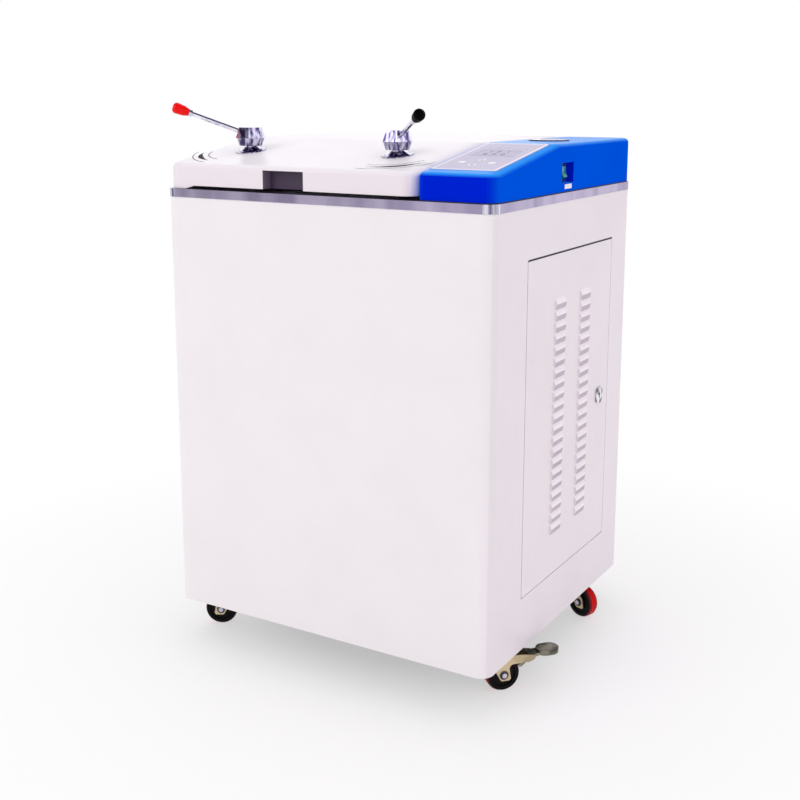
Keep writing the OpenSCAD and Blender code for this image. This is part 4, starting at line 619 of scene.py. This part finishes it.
# Membrane panel: printed film with a white border, a display window and a row of lamps.
# It lies in a shallow pocket of the slope, with holes for the four keys.
grey_film = coated("grey_film", "d2cde2", "b4aec8", 0.42, 0.05, 900.0)
dress(grey_film, "membrane_panel")
panel_x = panel_mid.x
panel_w = 116
panel_len = 206
panel_face = 0.5 * MM
film_inset = 0.6
border_w = 4.5
film_white = coated("film_white", "f6f4fa", "e0dce8", 0.4, 0.04, 900.0)
panel_place = on_slope(panel_x, panel_mid.y, panel_face + ink_lift)
half_w = panel_w / 2 - film_inset
half_l = panel_len / 2 - film_inset
inner_w = half_w - border_w
inner_l = half_l - border_w
border = [bar(-half_w, -half_l, -inner_w, half_l), bar(inner_w, -half_l, half_w, half_l),
          bar(-inner_w, -half_l, inner_w, -inner_l), bar(-inner_w, inner_l, inner_w, half_l)]
prisms("panel_border", border, ink_t, panel_place, "root", film_white)

# Display: a pale grey window let into the panel, with two rows of dark figures.
# Each figure is put together from straight bars, as a segment display shows it.
display_w = 78
display_len = 44
display_mid = 25
window_gap = 0.4
window_t = 0.9
window_sink = -0.6 * MM
window_w = display_w / 2 - window_gap
window_l = display_len / 2 - window_gap
window, window_shader = finish("display_window", Roughness=0.3)
window_look = effect(window, use_group, Color=tone("b4aeca"), Soil=tone("a29cba"), Amount=0.4)
window.node_tree.links.new(window_look["Color"], window_shader.inputs["Base Color"])
prisms("display_window", [bar(-window_w, display_mid - window_l, window_w, display_mid + window_l)],
       window_t, on_slope(panel_x, panel_mid.y, window_sink), "root", window)


def disc(r, steps, x=0.0, y=0.0):
    """Outline of a round plate."""
    return [(x + polar(r, 360 * i / steps)[0], y + polar(r, 360 * i / steps)[1]) for i in range(steps)]


def digit(figure, x, y, h, pen):
    """Bars of one figure, half as wide as high, as a segment display or a dial shows it."""
    w = half = h / 2
    bars = {"a": bar(x, y + h - pen, x + w, y + h), "b": bar(x + w - pen, y + half, x + w, y + h),
            "c": bar(x + w - pen, y, x + w, y + half), "d": bar(x, y, x + w, y + pen),
            "e": bar(x, y, x + pen, y + half), "f": bar(x, y + half, x + pen, y + h),
            "g": bar(x, y + half - pen / 2, x + w, y + half + pen / 2)}
    lit = {"0": "abcdef", "1": "bc", "2": "abged", "3": "abgcd", "4": "fgbc", "5": "afgcd"}
    return [bars[segment] for segment in lit[figure]]


figure_h = 11
figure_pen = 1.4
figure_start = -22
figure_pitch = 16
upper_rise = 5
lower_drop = 15
display_ink = coated("display_ink", "2a2740", "3d3a55", 0.5, 0.02, 300.0)
shown = []
for row, figures in ((display_mid + upper_rise, "121"), (display_mid - lower_drop, "030")):
    for i, figure in enumerate(figures):
        shown += digit(figure, figure_start + figure_pitch * i, row, figure_h, figure_pen)
window_top = window_sink + window_t * MM
prisms("display_figures", shown, ink_t, on_slope(panel_x, panel_mid.y, window_top + ink_lift), "root",
       display_ink)

# Row of five lamps over the display, each with a short stroke as its mark.
# The lamps stand a little out of the film. The strokes, and a line under the display, are printed.
lamp_rise = 30
lamp_count = 5
lamp_pitch = 17
lamp_r = 2.2
lamp_t = 0.3
stroke_half = 5
stroke_rise = 4
stroke_h = 1.2
line_gap = 2
line_h = 0.8
lamp_row = display_mid + lamp_rise
lamp_spots = [lamp_pitch * (i - (lamp_count - 1) / 2) for i in range(lamp_count)]
stroke_foot = lamp_row + stroke_rise
panel_marks = [bar(x - stroke_half, stroke_foot, x + stroke_half, stroke_foot + stroke_h)
               for x in lamp_spots]
line_foot = display_mid - display_len / 2 - line_gap
line_half = display_w / 2 + line_gap
panel_marks.append(bar(-line_half, line_foot, line_half, line_foot + line_h))
prisms("panel_marks", panel_marks, ink_t, panel_place, "root", display_ink)
prisms("panel_lamps", [disc(lamp_r, steps=20, x=x, y=lamp_row) for x in lamp_spots], lamp_t,
       panel_place, "root", film_white)

# Four keys: white plastic discs, with an arrow on the upper and the lower one.
# They are moulded and stand in holes of the membrane panel, and the arrows are printed on them.
button_plastic = coated("button_plastic", "f4f3f8", "dcd9e4", 0.35, 0.03, 600.0)
dress(button_plastic, "button_left", "button_right", "button_up", "button_down")
arrow_half = 3.4
arrow_foot = -2.2
arrow_tip = 3.4
arrow = [(-arrow_half, arrow_foot), (0, arrow_tip), (arrow_half, arrow_foot)]
for name, turn in (("up", 0), ("down", 180)):
    low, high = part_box(f"button_{name}")
    middle = (low + high) / 2
    place = (Matrix.Translation(middle) @ Matrix.Rotation(slope, 4, "X")
             @ Matrix.Rotation(math.radians(turn), 4, "Z"))
    corners = [v.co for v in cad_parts[f"button_{name}"].data.vertices]
    rise = max((corner - middle).dot(slope_normal) for corner in corners)
    lift = Matrix.Translation(slope_normal * (rise + ink_lift))
    prisms(f"button_{name}_arrow", [arrow], ink_t, lift @ place, f"key_{name}", display_ink)

# Pressure gauge: steel case, white dial with ticks and plain figures, black needle and flat glass.
# It is let into the flat top of the housing and reads from above.
dial_white = coated("dial_white", "f3f2f4", "dedce2", 0.5, 0.01, 300.0)
red_paint = coated("red_paint", "c81414", "8a1010", 0.4, 0.02, 300.0)
case_low, case_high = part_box("gauge_case")
gauge_mid = (case_low + case_high) / 2
dial_r = 29.5
dial_t = 0.3
dial_sink = 5 * MM
dial_z = case_high.z - dial_sink
dial_place = Matrix.Translation((gauge_mid.x, gauge_mid.y, dial_z))
prisms("gauge_dial", [disc(dial_r, steps=64)], dial_t, dial_place, "root", dial_white)

# Ticks and figures on the dial, over three quarters of a turn from the lower left.
# Each tick is a bar between two radii, and those at the figures are longer and bolder.
scale_start = 225
scale_sweep = 270
tick_count = 31
ticks_per_figure = 5
tick_outer_r = 27
short_inner_r = 23.5
short_half = 0.5
long_inner_r = 20.5
long_half = 0.8
dial_figures = "012345"
dial_figure_r = 16.5
dial_figure_h = 4.8
dial_figure_pen = 0.7
dial_figure_left = 1.4
ticks = []
for i in range(tick_count):
    angle = math.radians(scale_start - scale_sweep * i / (tick_count - 1))
    long = i % ticks_per_figure == 0
    inner_r = long_inner_r if long else short_inner_r
    half = long_half if long else short_half
    ux, uy = math.cos(angle), math.sin(angle)
    ends = ((inner_r, half), (tick_outer_r, half), (tick_outer_r, -half), (inner_r, -half))
    ticks.append([(r * ux - h * uy, r * uy + h * ux) for r, h in ends])
for i, figure in enumerate(dial_figures):
    x, y = polar(dial_figure_r, scale_start - scale_sweep * i / (len(dial_figures) - 1))
    ticks += digit(figure, x - dial_figure_left, y - dial_figure_h / 2, dial_figure_h, dial_figure_pen)
dial_ink_place = Matrix.Translation((gauge_mid.x, gauge_mid.y, dial_z + dial_t * MM + ink_lift))
prisms("gauge_ticks", ticks, ink_t, dial_ink_place, "root", mark_ink)
red_r = 28.2
red_w = 1.4
red_end = 0
prisms("gauge_red_zone", [arc_band(red_r, red_w, scale_start - scale_sweep, red_end)], ink_t,
       dial_ink_place, "root", red_paint)
dress(mark_ink, "gauge_needle")
# The case's steel carries dark and bright bands in its colour, a painted reflection.
bezel_steel_painted_reflection = metal("bezel_steel_painted_reflection", "6e6a84", "1c1a2c", 0.12, streak=(70.0, 70.0, 3.0), amount=1.0,
                    **plated)
dress(bezel_steel_painted_reflection, "gauge_case")
gauge_glass = finish("gauge_glass", Base_Color=tone("f6fafc"), Roughness=0.02, Transmission_Weight=1.0,
                     IOR=1.45, Metallic=0.0)[0]
dress(gauge_glass, "gauge_glass")

# Power switch: green lit rocker in a black frame, in a recess of the housing's side.
# A bare white plate is glued on under it.
rocker_plastic, rocker_shader = finish("rocker_plastic", Roughness=0.22, Transmission_Weight=0.25,
                                       Coat_Weight=0.4)
rocker_look = effect(rocker_plastic, use_group, Color=tone("12a58c"), Soil=tone("0a6f60"), Amount=0.3)
rocker_plastic.node_tree.links.new(rocker_look["Color"], rocker_shader.inputs["Base Color"])
dress(rocker_plastic, "power_rocker")
housing_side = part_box("control_housing")[1].x
switch_low, switch_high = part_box("switch_frame")
switch_mid = (switch_low + switch_high) / 2
label_half = 15
label_half_h = 4
label_t = 0.25
label_drop = 8 * MM
label_place = Matrix.Translation((housing_side + ink_lift, switch_mid.y, switch_low.z - label_drop))
prisms("switch_label", [bar(-label_half, -label_half_h, label_half, label_half_h)], label_t,
       label_place @ facing_right, "root", film_white)

# Cam lock of the side door: a nickel face with painted reflection bands, round a keyhole in painted
# shadow.
# Die cast and plated, held in the door by its nut.
nickel_painted_reflection = metal("nickel_painted_reflection", "eeeaee", "1c1826", 0.2, streak=(110.0, 110.0, 50.0), amount=1.0, **plated)
dress(nickel_painted_reflection, "cam_lock")
lock_low, lock_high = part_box("cam_lock")
lock_y = (lock_low.y + lock_high.y) / 2
lock_z = lock_high.z - (lock_high.y - lock_low.y) / 2
key_r = 5.2 * MM
key_sink = 0.1 * MM
second_finish("cam_lock", shadow_black, lambda face: face.center.x < lock_high.x - key_sink
              and math.hypot(face.center.y - lock_y, face.center.z - lock_z) < key_r)

# Casters: forks and plates in yellow zinc, black wheels with a red tread, and steel brake pedals.
# Each turns on its king pin under the floor pan, and its axle bolt has a dark washer and a nut.
yellow_zinc = metal("yellow_zinc", "d9c6a2", "8c7f68", 0.42, stretch=all_ways,
                    streak=(24.0, 24.0, 24.0), amount=0.6)
grey_zinc = metal("grey_zinc", "9c9a88", "343228", 0.3, stretch=all_ways,
                  streak=(40.0, 40.0, 40.0), amount=0.9)
dark_washer = metal("dark_washer", "5e5666", "2c2632", 0.3, streak=all_ways, amount=0.6)
nut_steel = metal("nut_steel", "d6d2de", "8a8498", 0.2, streak=all_ways, amount=0.5)
caster_tread = coated("caster_tread", "de0404", "7a0404", 0.4, 0.06, 400.0, soil_share=0.3,
                      Specular_IOR_Level=0.1)
tread_edge = coated("tread_edge", "86080c", "3a0406", 0.4, 0.06, 400.0, soil_share=0.5,
                    Specular_IOR_Level=0.3)
hub_black = coated("hub_black", "060304", "161012", 0.42, 0.08, 500.0, soil_share=0.4,
                   Specular_IOR_Level=0.12)
dress(yellow_zinc, "caster_plates")
dress(grey_zinc, "front_right_brake", "rear_left_brake")
tread_share = 0.985
flank_share = 0.93
washer_r = 8.2 * MM
nut_h = 1.75 * MM
bolt_h = 2.95 * MM


def wheel_axle(mesh):
    """Level direction in which a wheel's flanks face, from the area that faces each way."""
    across = sum(face.area * (face.normal.x ** 2 - face.normal.y ** 2) for face in mesh.polygons)
    aslant = sum(face.area * 2 * face.normal.x * face.normal.y for face in mesh.polygons)
    turn = math.atan2(aslant, across) / 2
    return Vector((math.cos(turn), math.sin(turn), 0))


def off_axle(spot, hub, axle):
    """Distance of a place from the line of a wheel's axle."""
    return (spot - hub - axle * (spot - hub).dot(axle)).length


def along_axle(spot, hub, axle):
    """Distance of a place from the middle of a wheel, along its axle."""
    return abs((spot - hub).dot(axle))


for corner in ("front_left", "front_right", "rear_left", "rear_right"):
    low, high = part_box(f"{corner}_wheel")
    hub = (low + high) / 2
    wheel_r = (high.z - low.z) / 2
    wheel_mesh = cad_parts[f"{corner}_wheel"].data
    fork_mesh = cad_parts[f"{corner}_fork"].data
    axle = wheel_axle(wheel_mesh)
    dress(caster_tread, f"{corner}_wheel")
    for shade, share in ((tread_edge, tread_share), (hub_black, flank_share)):
        second_finish(f"{corner}_wheel", shade, lambda face: min(
            off_axle(wheel_mesh.vertices[v].co, hub, axle) for v in face.vertices) < share * wheel_r)
    dress(yellow_zinc, f"{corner}_fork")
    bolt_end = max(along_axle(v.co, hub, axle) for v in fork_mesh.vertices
                   if off_axle(v.co, hub, axle) < washer_r)
    for shade, h in ((dark_washer, bolt_h), (nut_steel, nut_h)):
        second_finish(f"{corner}_fork", shade, lambda face: off_axle(face.center, hub, axle) < washer_r
                      and along_axle(face.center, hub, axle) > bolt_end - h)

# Pale studio: a wide round floor that keeps the shadow of the autoclave.
# Away from the casters it fades to white, for the camera and for what mirrors it.
floor_r = 9.0
floor_mesh = bpy.data.meshes.new("studio_floor")
floor_shape = bmesh.new()
bmesh.ops.create_circle(floor_shape, cap_ends=True, radius=floor_r, segments=96)
floor_shape.to_mesh(floor_mesh)
floor_shape.free()
floor = bpy.data.objects.new("studio_floor", floor_mesh)
bpy.context.scene.collection.objects.link(floor)
floor_look, floor_shader = finish("studio_floor", Base_Color=tone("f8f7f8"), Roughness=0.7)
floor_tree = floor_look.node_tree
floor_white = node(floor_tree, "ShaderNodeEmission", Color=(1.0, 1.0, 1.0, 1.0), Strength=1.0)
floor_seen = node(floor_tree, "ShaderNodeLightPath")
floor_place = node(floor_tree, "ShaderNodeTexCoord")
floor_far = node(floor_tree, "ShaderNodeVectorMath", [(0, floor_place.outputs["Object"])],
                 operation="LENGTH")
floor_fade = node(floor_tree, "ShaderNodeMapRange", [("Value", floor_far.outputs["Value"])],
                  From_Min=0.2, From_Max=1.2, To_Min=0.45)
floor_ray = node(floor_tree, "ShaderNodeMath", [
    (0, floor_seen.outputs["Is Camera Ray"]), (1, floor_seen.outputs["Is Glossy Ray"])],
    operation="MAXIMUM")
floor_share = node(floor_tree, "ShaderNodeMath", [
    (0, floor_fade.outputs["Result"]), (1, floor_ray.outputs["Value"])], operation="MULTIPLY")
floor_mix = node(floor_tree, "ShaderNodeMixShader", [
    (0, floor_share.outputs["Value"]), (1, floor_shader.outputs["BSDF"]),
    (2, floor_white.outputs["Emission"])])
floor_tree.links.new(floor_mix.outputs["Shader"], floor_tree.nodes["Material Output"].inputs["Surface"])
floor_mesh.materials.append(floor_look)

# Room round the floor: white to the camera, with a soft pale light from all sides.
# Metal mirrors it with dark upright bands in front and a darker ceiling.
room_bands_round = 9.0
world = bpy.data.worlds.new("studio")
bpy.context.scene.world = world
world.use_nodes = True
room = world.node_tree
room_path = node(room, "ShaderNodeLightPath")
room_place = node(room, "ShaderNodeTexCoord")
room_way = node(room, "ShaderNodeSeparateXYZ", [("Vector", room_place.outputs["Generated"])])
room_bands = node(room, "ShaderNodeValToRGB", [("Fac", room_way.outputs["Z"])])
room_bands.color_ramp.elements[0].position = 0.0
room_bands.color_ramp.elements[0].color = tone("f4f1fa")
room_bands.color_ramp.elements[1].position = 1.0
room_bands.color_ramp.elements[1].color = tone("35305c")
for spot, shade in ((0.35, "ffffff"), (0.5, "7b779d")):
    room_bands.color_ramp.elements.new(spot).color = tone(shade)
room_angle = node(room, "ShaderNodeMath", [(0, room_way.outputs["Y"]), (1, room_way.outputs["X"])],
                  operation="ARCTAN2")
room_turn = node(room, "ShaderNodeMath", [(0, room_angle.outputs["Value"])], operation="MULTIPLY")
room_turn.inputs[1].default_value = room_bands_round
room_wave = node(room, "ShaderNodeMath", [(0, room_turn.outputs["Value"])], operation="SINE")
room_dark = node(room, "ShaderNodeMapRange", [("Value", room_wave.outputs["Value"])],
                 From_Min=-0.6, From_Max=0.2, To_Min=0.35, To_Max=1.0)
room_behind = node(room, "ShaderNodeMapRange", [("Value", room_way.outputs["Y"])],
                   From_Min=-0.2, From_Max=0.2)
room_windows = node(room, "ShaderNodeMath", [
    (0, room_dark.outputs["Result"]), (1, room_behind.outputs["Result"])], operation="MAXIMUM")
room_mirror = node(room, "ShaderNodeBackground", [
    ("Color", room_bands.outputs["Color"]), ("Strength", room_windows.outputs["Value"])])
room_right = node(room, "ShaderNodeMapRange", [("Value", room_way.outputs["X"])],
                  From_Min=-0.2, From_Max=0.5)
room_tint = node(room, "ShaderNodeMixRGB", [("Fac", room_right.outputs["Result"])],
                 Color1=(1.0, 1.0, 1.0, 1.0), Color2=(1.0, 0.93, 0.985, 1.0))
room_light = node(room, "ShaderNodeBackground", [("Color", room_tint.outputs["Color"])], Strength=0.77)
room_white = node(room, "ShaderNodeBackground", Color=(1.0, 1.0, 1.0, 1.0), Strength=1.0)
room_first = node(room, "ShaderNodeMixShader", [
    (0, room_path.outputs["Is Glossy Ray"]), (1, room_light.outputs["Background"]),
    (2, room_mirror.outputs["Background"])])
room_seen = node(room, "ShaderNodeMath", [
    (0, room_path.outputs["Is Camera Ray"]), (1, room_path.outputs["Is Transmission Ray"])],
    operation="MAXIMUM")
room_last = node(room, "ShaderNodeMixShader", [
    (0, room_seen.outputs["Value"]), (1, room_first.outputs["Shader"]),
    (2, room_white.outputs["Background"])])
room.links.new(room_last.outputs["Shader"], room.nodes["World Output"].inputs["Surface"])

# Four soft lamps: a strong one in front, and fainter ones at the right, above and behind.
# Each is a square lamp that faces the middle of the autoclave.
middle = (cad_low + cad_high) / 2
lamps = (("key_lamp", (-1.3, -3.0, 2.7), 1.9, 26.0), ("side_lamp", (3.0, -0.4, 2.2), 1.6, 9.0),
         ("top_lamp", (-0.3, 0.6, 3.4), 2.2, 11.0), ("back_lamp", (-1.8, 2.6, 1.8), 1.8, 4.0))
for name, spot, side, power in lamps:
    lamp = bpy.data.lights.new(name, "AREA")
    lamp.energy = power
    lamp.size = side
    holder = bpy.data.objects.new(name, lamp)
    bpy.context.scene.collection.objects.link(holder)
    holder.location = spot
    holder.rotation_euler = (middle - Vector(spot)).to_track_quat("-Z", "Y").to_euler()

# Camera at the photograph's angle: a little above the lid, turned to show the right side.
# Its lens, place and turn were fitted to the corners of the cabinet in the photograph.
lens = 53.45
lens_shift = -0.09
camera_spot = (1.1333, -1.9277, 1.0325)
camera_yaw, camera_pitch, camera_roll = 30.8, 11.19, 0.03
camera_data = bpy.data.cameras.new("camera")
camera_data.lens = lens
camera_data.sensor_width = 36.0
camera_data.shift_y = lens_shift
camera = bpy.data.objects.new("camera", camera_data)
bpy.context.scene.collection.objects.link(camera)
aim = Euler((math.radians(90 - camera_pitch), 0, math.radians(camera_yaw))).to_quaternion()
camera.rotation_mode = "QUATERNION"
camera.rotation_quaternion = aim @ Quaternion((0, 0, 1), math.radians(camera_roll))
camera.location = camera_spot
bpy.context.scene.camera = camera
bpy.context.scene.view_settings.view_transform = "Standard"
